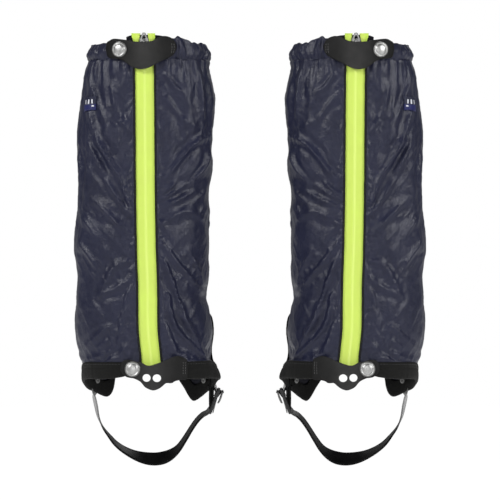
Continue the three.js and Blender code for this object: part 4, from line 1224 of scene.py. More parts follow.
def plate(outline, thick, offset, holes=(), step=1.6, grid=2.6, edge=0.55):
    """A plate with rounded edges: outline and holes in (X, Z); offset(x, z) is its underside's distance from the shell."""
    rims = [resample(outline, step)] + [np.array([(cx + r * math.cos(a), cz + rz * math.sin(a)) for a in np.arange(28) / 28 * 2 * math.pi]) for cx, cz, r, rz in holes]
    steps = [(edge, 0.0), (0.3 * edge, 0.08), (0.0, 0.32), (0.0, 0.68), (0.3 * edge, 0.92), (edge, 1.0)]
    verts, faces = [], []
    ends = {0: [], 1: []}
    for k, rim in enumerate(rims):
        n = len(rim)
        start = len(verts)
        for d, w in steps:
            ring = inset(rim, d if k == 0 else -d)
            verts += [(x, z, w) for x, z in ring]
        for r in range(len(steps) - 1):
            for i in range(n):
                a, b = start + r * n + i, start + r * n + (i + 1) % n
                faces.append((a, b, b + n, a + n))
        ends[0].append((start, n))
        ends[1].append((start + (len(steps) - 1) * n, n))
    out = np.array(verts)
    for side, w in ((0, 0.0), (1, 1.0)):
        loops = [[out[s + i, :2] for i in range(n)] for s, n in ends[side]]
        pts2, idx, cons = [], [], []
        for (s, n), lp in zip(ends[side], loops):
            base = len(pts2)
            pts2 += [Vector((float(q[0]), float(q[1]))) for q in lp]
            idx += [s + i for i in range(n)]
            cons += [(base + i, base + (i + 1) % n) for i in range(n)]
        rim0 = np.array(loops[0])
        lo, hi = rim0.min(0), rim0.max(0)

        def inside(poly, x, y):
            c = False
            n = len(poly)
            for i in range(n):
                x1, y1 = poly[i]
                x2, y2 = poly[(i + 1) % n]
                if (y1 > y) != (y2 > y) and x < (x2 - x1) * (y - y1) / (y2 - y1) + x1:
                    c = not c
            return c

        extra = []
        for x in np.arange(lo[0] + grid / 2, hi[0], grid):
            for y in np.arange(lo[1] + grid / 2, hi[1], grid):
                if inside(loops[0], x, y) and not any(inside(h, x, y) for h in loops[1:]) and min(float(np.min(np.hypot(np.array(l)[:, 0] - x, np.array(l)[:, 1] - y))) for l in loops) > grid * 0.55:
                    extra.append((float(x), float(y)))
        allp = pts2 + [Vector(e) for e in extra]
        vs, es, fs, ov, oe, of_ = delaunay_2d_cdt(allp, cons, [], 0, 1e-4)
        remap = {}
        for new, olds in enumerate(ov):
            if olds and olds[0] < len(idx):
                remap[new] = idx[olds[0]]
            else:
                remap[new] = len(verts)
                verts.append((vs[new][0], vs[new][1], w))
        for tri in fs:
            c = sum((np.array(vs[i]) for i in tri), np.zeros(2)) / len(tri)
            if inside(loops[0], c[0], c[1]) and not any(inside(h, c[0], c[1]) for h in loops[1:]):
                faces.append(tuple(remap[i] for i in tri))
    arr = np.array(verts, float)
    x, z, w = arr[:, 0], arr[:, 1], arr[:, 2]
    o = offset(x, z) + w * thick
    s = s_of(x, z, o)
    return P(s, z, o), faces, np.stack([x, z], -1)


def outline_points(outline, d, offset, thick, a=0.0, b=1.0):
    rim = inset(resample(outline, 1.2), d)
    n = len(rim)
    rim = np.roll(rim, -int(a * n), 0)[: max(4, int((b - a) * n))]
    o = offset(rim[:, 0], rim[:, 1]) + thick
    s = s_of(rim[:, 0], rim[:, 1], o)
    return P(s, rim[:, 1], o), normal_at(s, rim[:, 1])


TAB_T = 1.8
TOP_TAB = [(-46.6, 384.3), (-45.7, 392.2), (-42.6, 394.6), (-37.9, 396.6), (-31, 396.2), (-20.2, 394.6), (-12.7, 393.2), (-1.9, 392.8), (7.5, 393.9), (14.3, 397.5), (21.1, 399.7), (27.3, 399), (32.6, 395.9), (36.7, 389.2), (36, 383), (32.6, 377.6), (27.8, 374.2), (21.1, 370.9), (11.6, 366.4), (7.5, 364), (0.8, 361.3), (-6, 360.6), (-11.4, 361.7), (-16.9, 364), (-22.3, 368.2), (-27.6, 371.5), (-33.7, 372.9), (-39.9, 373.6), (-44.6, 375.6)]
BOTTOM_TAB = [(-28.5, 8), (-27.1, 17.2), (-22.9, 20.2), (-15.6, 20.2), (-10.9, 18.4), (-4.2, 17.2), (0.6, 14.5), (5.4, 13.6), (11.4, 15.1), (17.5, 17.2), (22.3, 19), (28.3, 22.1), (33, 23.8), (37.4, 24.8), (41.5, 23.8), (47, 21.4), (49.2, 18), (49.2, -1.5), (41.5, -3.3), (38, -4.1), (34.3, -5.1), (32.6, -6.6), (29.5, -7.2), (24.7, -7), (20.5, -10.5), (16.3, -13.5), (11.4, -15.3), (7.9, -15.3), (3.1, -13.5), (-0.6, -11.1), (-3.5, -7.4), (-6.6, -4.5), (-13.2, -1.4), (-17.5, -0.8), (-22.9, 1)]


def top_off(x, z):
    x, z = np.asarray(x, float), np.asarray(z, float)
    bend = 1.3 * np.exp(-(((x - 3) / 22) ** 2)) - 2.2 * smooth(14, 36, x) - 0.5 * smooth(-34, -46, x)
    crown = -0.0032 * (z - 380) ** 2 * smooth(-22, -8, x) * (1 - smooth(24, 36, x))
    return 4.4 + bend * smooth(-23, -12, x) + crown


def bottom_off(x, z):
    x, z = np.asarray(x, float), np.asarray(z, float)
    return 5.7 + 0.7 * np.exp(-(((x - 9) / 13) ** 2)) - 3.8 * smooth(20, 45, x) - 1.6 * smooth(2, -15, z) * smooth(-12, -2, x) - 0.7 * smooth(12, 24, z) * smooth(10, 20, x)


v, f, uv = plate(TOP_TAB, TAB_T, top_off)
pair("top_tab_plate", v, f, PU_TOP, "top_flap", ["top_tab"], uv=uv)
v, f, uv = plate(BOTTOM_TAB, TAB_T, bottom_off, holes=[(1.9, -0.8, 4.7, 4.5), (13.9, -1.1, 4.9, 4.5)])
pair("bottom_tab_plate", v, f, PU_BOTTOM, "bottom_flap", ["bottom_tab"], uv=uv)
# stitching where each tab is sewn on
zl = np.linspace(3.0, 18.6, 30)
parts = []
for xc in (47.0, 44.4):
    o = bottom_off(xc, zl) + TAB_T + 0.05
    s = s_of(xc + 0 * zl, zl, o)
    parts.append(stitches(P(s, zl, o), normal_at(s, zl), 2.0, 1.0, 0.55, 0.45))
v, f = join(parts)
pair("bottom_tab_stitches", v, f, THREAD_GREY, "bottom_flap")
zl = np.linspace(379.5, 392.5, 24)
parts = []
for dx in (0.0, 2.6):
    xc = 33.8 - dx - 0.05 * (zl - 386) ** 2 * 0.4
    o = top_off(xc, zl) + TAB_T + 0.05
    s = s_of(xc, zl, o)
    parts.append(stitches(P(s, zl, o), normal_at(s, zl), 2.0, 1.0, 0.55, 0.45))
v, f = join(parts)
pair("top_tab_stitches", v, f, THREAD_GREY, "top_flap")

# flap behind the zip's top: soft black cloth with a wavy top edge
n_u, n_v = 60, 22
u, w = np.meshgrid(np.linspace(0, 1, n_u), np.linspace(0, 1, n_v))
top_edge = keyed([(-22, 399.5), (-17, 401), (-8, 401.5), (6, 401.5), (14, 401.5), (22, 400.2), (30, 399.2), (36, 396)])
s = lerp(-22, 36, u)
z = lerp(364, top_edge(s) + 0.3 * noise2(s / 5, 0 * s, 91), w)
o = -7.9 + 0.7 * noise2(s / 9, z / 14, 93) + 1.2 * smooth(388, 402, z)
outer, inner = P(s, z, o), P(s, z, o - 1.1)
rows = np.concatenate([outer, inner[:, ::-1]], 1)
v, f = sweep(rows)
uv = np.concatenate([np.stack([s, z], -1), np.stack([s, z], -1)[:, ::-1]], 1).reshape(-1, 2)
pair("top_backing_flap", v, f, LINING, "gaiter", ["top_tab_backing"], uv=uv)

# ------------------------------------------------------------------ snaps
CAP = [(0, 2.75), (1.5, 2.72), (3.0, 2.58), (4.4, 2.3), (5.4, 1.92), (6.0, 1.5), (6.25, 1.18), (6.5, 1.05), (6.8, 1.18), (7.15, 1.42), (7.6, 1.42), (8.0, 1.1), (8.2, 0.6), (8.2, 0.15), (8.0, 0.0), (1.6, 0.0), (1.6, -2.6), (0, -2.6)]
SOCKET = [(3.0, 0), (5.9, 0), (6.2, 0.3), (6.2, 1.7), (5.9, 2.0), (4.4, 2.0), (4.1, 1.6), (3.4, 1.6), (3.0, 2.0), (3.0, 0)]
STUD = [(0, 0), (5.8, 0), (6.0, 0.2), (6.0, 0.8), (5.7, 1.0), (3.2, 1.0), (2.5, 1.25), (2.0, 1.7), (2.15, 2.2), (2.1, 2.55), (1.7, 2.7), (0, 2.7)]
for nm, s_, z_, base_, flap in (("top", -27.2, 384.0, 0, "top_flap"), ("bottom", -19.0, 9.4, 1.3, "bottom_flap")):
    v, f = lathe(CAP, 48)
    pair(f"{nm}_cap_dome", placed(v, s_, z_, base_ + 4.4 + TAB_T + 0.3), f, NICKEL, flap, [f"{nm}_snap_cap"], angle=50)
    v, f = lathe(SOCKET, 40)
    pair(f"{nm}_socket_ring", placed(v, s_, z_, base_ + 1.6), f, NICKEL, flap, [f"{nm}_snap_socket"], angle=50)
    v, f = lathe(STUD, 40)
    pair(f"{nm}_stud_post", placed(v, s_, z_, base_ + 0.3), f, NICKEL, "gaiter", [f"{nm}_snap_stud"], angle=50)
    # a thin dark gasket ring that shows round the cap
    v, f = lathe([(7.9, -0.22), (8.95, -0.22), (9.2, 0.0), (9.05, 0.35), (8.4, 0.45), (8.25, 0.1), (7.9, 0.1), (7.9, -0.22)], 48)
    pair(f"{nm}_cap_washer", placed(v, s_, z_, base_ + 4.4 + TAB_T + 0.3), f, NICKEL_DARK, flap)

# ------------------------------------------------------------------ slider and pull
def front_piece(verts):
    """From (x across, out, z) at the zip line to the row frame."""
    v = np.asarray(verts, float)
    return np.stack([zip_x(v[:, 2]) + v[:, 0], -front_depth(v[:, 2]) - v[:, 1], v[:, 2]], -1)


def block(outline, o0, o1, bevel, taper=0.0, holes=()):
    """A bevelled plate in (x, z) from o0 to o1 out from the zip line."""
    rim = np.array(outline, float)
    steps = [(bevel, 0.0), (0.0, min(0.45, bevel / abs(o1 - o0))), (0.0, 1 - min(0.45, bevel / abs(o1 - o0))), (bevel + taper, 1.0)]
    verts, faces, n = [], [], len(rim)
    for d, w in steps:
        verts += [(x, o0 + (o1 - o0) * w, z) for x, z in inset(rim, d)]
    for r in range(len(steps) - 1):
        for i in range(n):
            faces.append((r * n + i, r * n + (i + 1) % n, (r + 1) * n + (i + 1) % n, (r + 1) * n + i))
    faces += [tuple(range(n))[::-1], tuple((len(steps) - 1) * n + i for i in range(n))]
    return np.array(verts), faces


SL0 = 386.0
body = resample([(-3.4, 386), (3.4, 386), (4.0, 390), (5.3, 393.2), (5.4, 396.2), (4.2, 398), (1.6, 397.4), (0, 396.6), (-1.6, 397.4), (-4.2, 398), (-5.4, 396.2), (-5.3, 393.2), (-4.0, 390)], 0.7)
parts = [block(body, -1.2, 0.35, 0.35), block(body, -6.0, -4.6, 0.3)]
parts.append(block([(-0.3, 394), (0.3, 394), (0.3, 397.2), (-0.3, 397.2)], -4.8, -1.0, 0.02))
for sx in (-1, 1):
    parts.append(block([(sx * 3.3, 387.0), (sx * 3.85, 387.0), (sx * 3.85, 392), (sx * 3.3, 392)][:: (1 if sx > 0 else -1)], -5.0, -3.0, 0.05))
# bail: an arch along the zip, round in section
t = np.linspace(0, 1, 25)
bz = SL0 + 4.0 + 6.4 * t
bo = 0.2 + 2.5 * np.sin(np.pi * t) ** 0.4
prof = rounded(1.8, 0.95, 0.4, 3)
tz, to = np.gradient(bz), np.gradient(bo)
ln = np.hypot(tz, to)
rows = np.stack([np.stack([px + 0 * bz, bo + py * tz / ln, bz - py * to / ln], -1) for px, py in prof], 1)
parts.append(sweep(rows))
v, f = join(parts)
pair("slider_body", front_piece(v), f, PULL_METAL, "zip_slider", ["zip_slider"], angle=40)


def pull_piece():
    """A bell-shaped tongue with an eye at its foot and a small window: outline and two holes, extruded with bevels."""
    out = [(-4.6, 393.6), (4.6, 393.6), (4.8, 395.2), (4.3, 397.2), (3.4, 399.6), (2.6, 401.8), (1.9, 403.4), (0, 404.0), (-1.9, 403.4), (-2.6, 401.8), (-3.4, 399.6), (-4.3, 397.2), (-4.8, 395.2)]
    rim = resample(out, 0.6)
    eye = resample([(-1.5, 394.6), (1.5, 394.6), (1.5, 399.1), (-1.5, 399.1)], 0.6)
    win = np.array([(0.9 * math.cos(a), 401.0 + 0.9 * math.sin(a)) for a in np.arange(16) / 16 * 2 * math.pi])
    steps = [(0.22, 0.0), (0.0, 0.25), (0.0, 0.75), (0.22, 1.0)]
    verts, faces, ends = [], [], {0: [], 1: []}
    for k, r in enumerate((rim, eye, win)):
        n, start = len(r), len(verts)
        for d, w in steps:
            verts += [(x, 0.6 + w, z) for x, z in inset(r, d if k == 0 else -d)]
        for q in range(3):
            faces += [(start + q * n + i, start + q * n + (i + 1) % n, start + (q + 1) * n + (i + 1) % n, start + (q + 1) * n + i) for i in range(n)]
        ends[0].append((start, n))
        ends[1].append((start + 3 * n, n))
    for side in (0, 1):
        pts2, idx, cons = [], [], []
        for s, n in ends[side]:
            base = len(pts2)
            pts2 += [Vector((verts[s + i][0], verts[s + i][2])) for i in range(n)]
            idx += [s + i for i in range(n)]
            cons += [(base + i, base + (i + 1) % n) for i in range(n)]
        vs, es, fs, ov, oe, of_ = delaunay_2d_cdt(pts2, cons, [], 0, 1e-5)
        polys = [[(verts[s + i][0], verts[s + i][2]) for i in range(n)] for s, n in ends[side]]

        def inside(poly, x, y):
            c = False
            for (x1, y1), (x2, y2) in zip(poly, poly[1:] + poly[:1]):
                if (y1 > y) != (y2 > y) and x < (x2 - x1) * (y - y1) / (y2 - y1) + x1:
                    c = not c
            return c

        for tri in fs:
            cx, cy = sum(vs[i][0] for i in tri) / len(tri), sum(vs[i][1] for i in tri) / len(tri)
            if inside(polys[0], cx, cy) and not inside(polys[1], cx, cy) and not inside(polys[2], cx, cy):
                faces.append(tuple(idx[ov[i][0]] for i in tri))
    return np.array(verts), faces


v, f = pull_piece()
v = np.stack([zip_x(394.1) + v[:, 0], -front_depth(394.1) - v[:, 1], v[:, 2]], -1)
pair("pull_tongue", v, f, PULL_METAL, "zip_pull", ["zip_pull"], angle=40)


# ------------------------------------------------------------------ straps, rivets, buckle
ANCHOR_S, RIVET_Z = 152, -7
STRAP_W, STRAP_T = 20, 1.8
HANG_Y = 32


def catmull(pts, per=8):
    p = np.array(pts, float)
    q = np.concatenate([[2 * p[0] - p[1]], p, [2 * p[-1] - p[-2]]])
    out = []
    for i in range(1, len(q) - 2):
        t = (np.arange(per) / per)[:, None]
        a, b, c, d = q[i - 1], q[i], q[i + 1], q[i + 2]
        out.append(0.5 * ((2 * b) + (c - a) * t + (2 * a - 5 * b + 4 * c - d) * t**2 + (3 * b - a - 3 * c + d) * t**3))
    return np.concatenate(out + [p[-1:]])


def ribbon(centre, across, width, thick, round_r=0.55, k=3, crown=0.0):
    """A flat strap: centre line (n, 3), unit vectors across it, its width along them."""
    t = np.gradient(centre, axis=0)
    t /= np.linalg.norm(t, axis=1, keepdims=True)
    a = across - t * np.sum(across * t, axis=1, keepdims=True)
    a /= np.linalg.norm(a, axis=1, keepdims=True)
    n = np.cross(t, a)
    # cross-section with extra points over the flat faces, so that the strap can crown and ripple
    half = []
    xs = np.linspace(-width / 2 + round_r, width / 2 - round_r, 9)
    prof = [(x, thick / 2 + crown * (1 - (2 * x / width) ** 2)) for x in xs[::-1]]
    prof += [(-width / 2 + round_r - round_r * math.sin(q), thick / 2 * math.cos(q)) for q in np.linspace(0.35, math.pi - 0.35, 5)]
    prof += [(x, -thick / 2 + crown * (1 - (2 * x / width) ** 2)) for x in xs]
    prof += [(width / 2 - round_r + round_r * math.sin(q), -thick / 2 * math.cos(q)) for q in np.linspace(0.35, math.pi - 0.35, 5)]
    w = width if np.ndim(width) else np.full(len(centre), float(width))
    rows = np.stack([centre + a * (px) + n * py for px, py in prof], 1)
    al = np.concatenate([[0], np.cumsum(np.linalg.norm(np.diff(centre, axis=0), axis=1))])
    uv = np.stack([np.tile(np.array([q[0] for q in prof]), (len(centre), 1)), np.tile(al[:, None], (1, len(prof)))], -1).reshape(-1, 2)
    return rows, uv, a, n


def taper_end(rows, n_end, depth, centre):
    """Rounds the far end of a ribbon by pulling its last rows together."""
    out = rows.copy()
    m = len(rows)
    for k in range(n_end):
        t = (k + 1) / n_end
        f = math.sqrt(max(0.02, 1 - t**2))
        i = m - n_end + k
        out[i] = centre[i] + (rows[i] - centre[i]) * np.array([f, f, f])
    return out


ROUTE = [(-65.0, -23.5), (-61.6, -36), (-57, -49), (-51, -60.4), (-44.6, -69.4), (-37.8, -77.3), (-28.3, -85.1), (-17.5, -91.2), (-6.6, -95.3), (4, -97.6), (14, -97.6), (24, -95.2), (32, -90.8), (39, -84.3), (46, -74.2), (53, -63), (60, -52.8), (66.5, -46), (72, -42.6), (74.6, -39.2), (77.4, -35), (80.5, -31), (83.0, -27), (84.7, -24.4)]
TILT = keyed([(0, -11), (0.08, -11), (0.18, -1), (0.28, 10), (0.38, 23), (0.47, 42), (0.51, 46), (0.56, 44), (0.65, 21), (0.74, 14), (0.83, 13), (0.88, 13), (0.93, 8), (1, 0)])

# riveted end on the hem, then the loop under the boot, one strap
head = []
for z in np.linspace(3.6, -16, 12):
    head.append(P(-ANCHOR_S, z, 1.6 + STRAP_T / 2 + 0.05))
head = np.array(head)
loop = catmull([(x, HANG_Y, z) for x, z in ROUTE], 7)
_q = np.linspace(0, 1, len(loop))
_w = (smooth(0.0, 0.14, _q) * (1 - smooth(0.84, 0.97, _q)))[:, None]
loop = loop + (loop - np.array([122.72, HANG_Y, 148.68])) * 0.0155 * _w * np.array([1, 0, 1])
bridge = catmull([head[-2], head[-1], (head[-1] + loop[0]) / 2 + np.array([-0.4, 0, 0.3]), loop[0], loop[1]], 6)[6:19]
centre = np.concatenate([head[:-1], bridge, loop[1:]])
al = np.concatenate([[0], np.cumsum(np.linalg.norm(np.diff(centre, axis=0), axis=1))])
l0 = al[len(head) + len(bridge) - 2]
tt = np.clip((al - l0) / (al[-1] - l0), 0, 1)
tan = np.gradient(centre, axis=0)
tan /= np.linalg.norm(tan, axis=1, keepdims=True)
inward = np.stack([-tan[:, 2], 0 * tt, tan[:, 0]], -1)
inward /= np.maximum(np.linalg.norm(inward, axis=1, keepdims=True), 1e-6)
beta = np.radians(TILT(tt))
across_loop = np.stack([0 * tt, np.cos(beta), 0 * tt], -1) + inward * np.sin(beta)[:, None]
tangent_hem = P(-ANCHOR_S + 1, -8, 2.5) - P(-ANCHOR_S - 1, -8, 2.5)
tangent_hem /= np.linalg.norm(tangent_hem)
if tangent_hem[1] < 0:
    tangent_hem = -tangent_hem
w = smooth(al[len(head) - 2] - 4, l0 + 6, al)[:, None]
across = tangent_hem[None] * (1 - w) + across_loop * w
rows, uv, aa, nn = ribbon(centre, across, STRAP_W, STRAP_T, crown=0.12)
# soft ripples
rip = 0.25 * noise2(al / 14, 0 * al, 101) * smooth(l0, l0 + 20, al)
rows = rows + (nn * rip[:, None])[:, None, :]
STRAP_CENTRE, STRAP_AL, STRAP_A, STRAP_N = centre, al, aa, nn
v, f = sweep(rows)
# the long strap's material, with painted reflection towards both of its ends
STRAP_LONG = strap_material("strap_pu_long", float(al[-1]))
pair("under_strap_webbing", v, f, STRAP_LONG, "under_strap", ["foot_strap", "strap_end"], uv=uv, blend=("gaiter", "under_strap", (-67, 32, -14), (-67, 32, -24)))
# pressed rims: two raised edge beads along the loop, on both faces
parts = []
k0, k1 = int(np.searchsorted(al, 84)), int(np.searchsorted(al, al[-1] - 36))
for side in (-1, 1):
    for face in (-1, 1):
        c = centre[k0:k1] + aa[k0:k1] * (side * (STRAP_W / 2 - 1.7)) + nn[k0:k1] * (face * (STRAP_T / 2) + rip[k0:k1, None] + (0.12 if face > 0 else 0.12) * 1.0 * (1))
        ring = np.stack([c + 0.42 * (aa[k0:k1] * math.cos(q)) + 0.22 * (nn[k0:k1] * math.sin(q)) for q in np.arange(6) / 6 * 2 * math.pi], 1)
        parts.append(sweep(ring))
v, f = join(parts)
pair("under_strap_rims", v, f, STRAP, "under_strap", blend=("gaiter", "under_strap", (-67, 32, -14), (-67, 32, -24)))

# the buckle's short strap: riveted on the hem, folded round the buckle's upper bar
BX, BZ = 80.4, -32.2
LEAN = np.array([0.35, 0, 0.937]) / math.hypot(0.35, 0.937)
ACR = np.array([0, 1.0, 0])
FACE = np.cross(ACR, LEAN)


def in_buckle(v):
    v = np.asarray(v, float)
    return np.array([BX, HANG_Y, BZ]) + v[:, :1] * ACR + v[:, 1:2] * LEAN + v[:, 2:3] * FACE


bar_c = np.array([BX, HANG_Y, BZ]) + LEAN * 12.0
headb = np.array([P(ANCHOR_S, z, 1.6 + STRAP_T / 2 + 0.05) for z in np.linspace(3.6, -14, 11)])
wrap = [bar_c + 2.45 * (math.cos(a) * FACE + math.sin(a) * LEAN) for a in np.radians([35, 0, -40, -80, -120, -160])]
tail_in = [bar_c + np.array([-4.0, 0, 2.2]), bar_c + np.array([-5.2, 0, 7.0])]
pathb = catmull([headb[-2], headb[-1]] + wrap + tail_in, 6)[6:]
centreb = np.concatenate([headb[:-1], pathb])
th = P(ANCHOR_S + 1, -8, 2.5) - P(ANCHOR_S - 1, -8, 2.5)
th /= np.linalg.norm(th)
if th[1] < 0:
    th = -th
alb = np.concatenate([[0], np.cumsum(np.linalg.norm(np.diff(centreb, axis=0), axis=1))])
wb = smooth(12, 20, alb)[:, None]
widthb = 20
rows, uv, _, _ = ribbon(centreb, th[None] * (1 - wb) + ACR[None] * wb, 18, 1.5, crown=0.1)
v, f = sweep(rows)
pair("buckle_strap_fold", v, f, STRAP, "under_strap", ["buckle_strap"], uv=uv, blend=("gaiter", "under_strap", (79, 32, -12), (79, 32, -20)))

# the short strap's folded end: two layers hanging inside the ring, with a paler backing strip outside them
def hung(name, pts, width, thick, mat):
    c = catmull([(x, HANG_Y, z) for x, z in pts], 6)
    r, uv_, _, _ = ribbon(c, np.repeat(ACR[None], len(c), 0), width, thick, crown=0.0)
    v_, f_ = sweep(r)
    pair(name, v_, f_, mat, "under_strap", uv=uv_, blend=("gaiter", "under_strap", (78, 32, -8), (78, 32, -18)))


hung("buckle_fold_inner", [(76.4, -5), (75.5, -14), (75.0, -24), (75.0, -34), (75.3, -42)], 18, 3.0, STRAP)
hung("buckle_fold_outer", [(79.2, -6), (78.4, -14), (77.9, -24), (77.8, -33), (78.2, -39)], 18, 3.0, STRAP)
hung("buckle_pale_strip", [(78.9, -6.5), (80.6, -11), (82.3, -17), (81.7, -21.5), (80.3, -26)], 16, 1.9, STRIP_GREY)

# the strap's free tail: from the buckle up the outer side of the hem, through the keeper
tail_s = keyed([(-16.5, 152), (0, 150), (20, 146), (35, 142), (50, 133), (72, 121)])
tail_o = keyed([(-16.5, 4.6), (-10, 4.9), (-4, 5.3), (4, 5.8), (14, 3.6), (25, 2.2), (34, 2.1), (72, 2.3)])
zt = np.linspace(-16.5, 71, 70)
st_ = tail_s(zt)
c_up = P(st_, zt, tail_o(zt) + 0.8)
loop_end = loop[-1]
start_pts = [np.array([BX, HANG_Y, BZ]) + LEAN * 6.0 + FACE * 1.4, bar_c + FACE * 2.6 - LEAN * 1.5, bar_c + FACE * 2.2 + LEAN * 1.6, c_up[0], c_up[3]]
low = catmull(start_pts, 6)[:19]
centret = np.concatenate([low[:-1], c_up])
alt = np.concatenate([[0], np.cumsum(np.linalg.norm(np.diff(centret, axis=0), axis=1))])
d_up = P(st_ + 1, zt, tail_o(zt)) - P(st_ - 1, zt, tail_o(zt))
d_up /= np.linalg.norm(d_up, axis=1, keepdims=True)
d_up = d_up * np.where(d_up[:, 1:2] < 0, -1, 1)
turn = smooth(-15, 14, zt)[:, None]
across_t = np.concatenate([np.repeat(ACR[None], len(low) - 1, 0), ACR[None] * (1 - turn) + d_up * turn])
rows, uv, _, _ = ribbon(centret, across_t, 18, 1.6, crown=0.1)
# rounded tip
m = len(rows)
for k in range(8):
    t_ = (k + 1) / 8
    fct = math.sqrt(max(0.04, 1 - t_**2))
    i = m - 8 + k
    rows[i] = centret[i] + (rows[i] - centret[i]) * (0.25 + 0.75 * fct)
v, f = sweep(rows)
pair("strap_tail_end", v, f, STRAP, "gaiter", ["strap_tail"], uv=uv, blend=("gaiter", "under_strap", (81, 32, -12), (81, 32, -24)))

# keeper: a soft loop round the tail
zk0, zk1 = 47.0, 56.5
prof = []
for (x, o) in [(-9.2, 0.55), (9.2, 0.55), (10.6, 1.1), (10.9, 2.4), (10.4, 3.9), (9.0, 4.5), (4, 4.75), (0, 4.8), (-4, 4.75), (-9.0, 4.5), (-10.4, 3.9), (-10.9, 2.4), (-10.6, 1.1)]:
    prof.append((x, o))
prof = resample(prof, 1.1)
rows_out = []
zk = (zk0 + zk1) / 2
for x, o in prof:
    ring = []
    nrm = np.array([0.0, 0.0])
    for px, pz in rounded(1.1, zk1 - zk0, 0.4, 3):
        # thickness towards the loop's middle
        d = np.array([0 - x, 2.6 - o])
        d /= np.linalg.norm(d)
        xx, oo = x + d[0] * (px + 0.55) * 0.8, o + d[1] * (px + 0.55) * 0.8
        z = zk + pz
        ring.append(P(tail_s(z) + xx, z, oo))
    rows_out.append(ring)
v, f = sweep(np.array(rows_out), closed=True)
pair("keeper_loop", v, f, BINDING, "gaiter", ["strap_keeper"], uv=np.zeros((len(v), 2)))

# rivets
RIVET_OUT = [(0, 5.25), (1.6, 5.2), (3.0, 5.0), (4.2, 4.7), (4.8, 4.3), (4.9, 4.0), (4.7, 3.8), (1.6, 3.8), (1.6, -5.2), (4.0, -5.2), (4.2, -5.4), (4.1, -5.9), (3.4, -6.2), (2.0, -6.35), (1.2, -6.1), (0, -6.0)]
for nm, s_ in (("strap", -ANCHOR_S), ("buckle_strap", ANCHOR_S)):
    v, f = lathe(RIVET_OUT, 36)
    pair(f"{nm}_rivet_head", placed(v, s_, RIVET_Z, 0), f, NICKEL_DARK, "gaiter", [f"{nm}_rivet"], angle=50)

# buckle: a cast ring, oval in section, with a prong that turns on the upper bar
ring = []
W, H, BAR = 27, 32.6, 2.4
path = []
for q in range(4):
    for i in range(9):
        a = (q + i / 8) * math.pi / 2
        sx, sy = (1 if q in (0, 3) else -1), (1 if q < 2 else -1)
        path.append(((W / 2 - BAR / 2 - 3) * sx + 3 * math.cos(a), (H / 2 - BAR / 2 - 3) * sy + 3 * math.sin(a)))
path = np.array(path)
tanp = np.roll(path, -1, 0) - np.roll(path, 1, 0)
tanp /= np.linalg.norm(tanp, axis=1, keepdims=True)
rows = []
for (x, y), (tx, ty) in zip(path, tanp):
    nx, ny = ty, -tx
    # the frame is deep in the middle of its sides and thins to its lower bar, which is a wedge
    deep = 1.7 + 1.5 * math.exp(-(((y - 1.0) / 10.5) ** 2))
    drop = -1.3 if y < -11 else 0.0
    rows.append([(x + nx * 1.45 * math.copysign(abs(math.cos(a)) ** 0.7, math.cos(a)), y + ny * 1.35 * math.cos(a) + drop * max(0, ny), -0.3 + deep * math.copysign(abs(math.sin(a)) ** 0.7, math.sin(a))) for a in np.arange(16) / 16 * 2 * math.pi])
rows = np.array(rows)
shape = rows.shape
va, fa = sweep(in_buckle(rows.reshape(-1, 3)).reshape(shape), closed=True)
# the pin that the prong turns on, just below the upper bar
pin = np.array([[(x, 12.45 + 0.6 * math.cos(a), -0.92 + 0.6 * math.sin(a)) for a in np.arange(12) / 12 * 2 * math.pi] for x in (-12.2, 12.2)])
vb, fb = sweep(in_buckle(pin.reshape(-1, 3)).reshape(pin.shape))
v, f = join([(va, fa), (vb, fb)])
pair("buckle_ring", v, f, BUCKLE_GREY, "under_strap", ["buckle_frame"])
pr = catmull([(0, 11.7, -0.92), (0, 10.2, -0.95), (0, 6.6, 0.5), (0, 3, 1.2), (0, -3, 1.75), (0, -10, 2.6), (0, -14.6, 3.0)], 5)
rows = []
for i, c in enumerate(pr):
    w_ = 1.15 - 0.35 * i / len(pr)
    if i == len(pr) - 1:
        w_ *= 0.45
    rows.append([(w_ * math.cos(a), c[1], c[2] + 0.8 * w_ * math.sin(a)) for a in np.arange(12) / 12 * 2 * math.pi])
rows = np.array(rows)
eye = []
for a in np.arange(20) / 20 * 2 * math.pi:
    cy, cz = 12.45 + 0.95 * math.cos(a), -0.92 + 0.95 * math.sin(a)
    eye.append([(2.3 * math.cos(b) * 0.5, cy + 0.25 * math.sin(b) * math.cos(a), cz + 0.25 * math.sin(b) * math.sin(a)) for b in np.arange(8) / 8 * 2 * math.pi])
eye = np.array(eye)
va, fa = sweep(in_buckle(rows.reshape(-1, 3)).reshape(rows.shape))
vb, fb = sweep(in_buckle(eye.reshape(-1, 3)).reshape(eye.shape), closed=True)
# an oval cast plate over the prong's root, with a cross pin through it
oval = []
for k, (d, w_) in enumerate([(0.9, 0.0), (0.25, 0.16), (0.0, 0.4), (0.0, 0.6), (0.3, 0.85), (1.0, 1.0)]):
    oval.append([((8.6 - d) * math.cos(a), 5.9 + (7.4 - d) * math.sin(a), 4.4 + 2.1 * w_ - 0.016 * ((7.4 - d) * math.sin(a)) ** 2) for a in np.arange(40) / 40 * 2 * math.pi])
oval = np.array(oval)
vc, fc = sweep(in_buckle(oval.reshape(-1, 3)).reshape(oval.shape))
v, f = join([(va, fa), (vb, fb), (vc, fc)])
pair("prong_plate", v, f, BUCKLE_BRIGHT, "prong", ["buckle_prong"], angle=55)
cross = np.array([[(x, 8.0 + 1.05 * math.cos(a), 5.3 + 1.05 * math.sin(a)) for a in np.arange(16) / 16 * 2 * math.pi] for x in (-9.1, -8.9, 8.9, 9.1)])
cross[0, :, 1:] = cross[0, :, 1:] * 0.8 + np.array([8.0, 5.3]) * 0.2
cross[-1, :, 1:] = cross[-1, :, 1:] * 0.8 + np.array([8.0, 5.3]) * 0.2
v, f = sweep(in_buckle(cross.reshape(-1, 3)).reshape(cross.shape))
pair("prong_cross_pin", v, f, NICKEL_DARK, "prong")

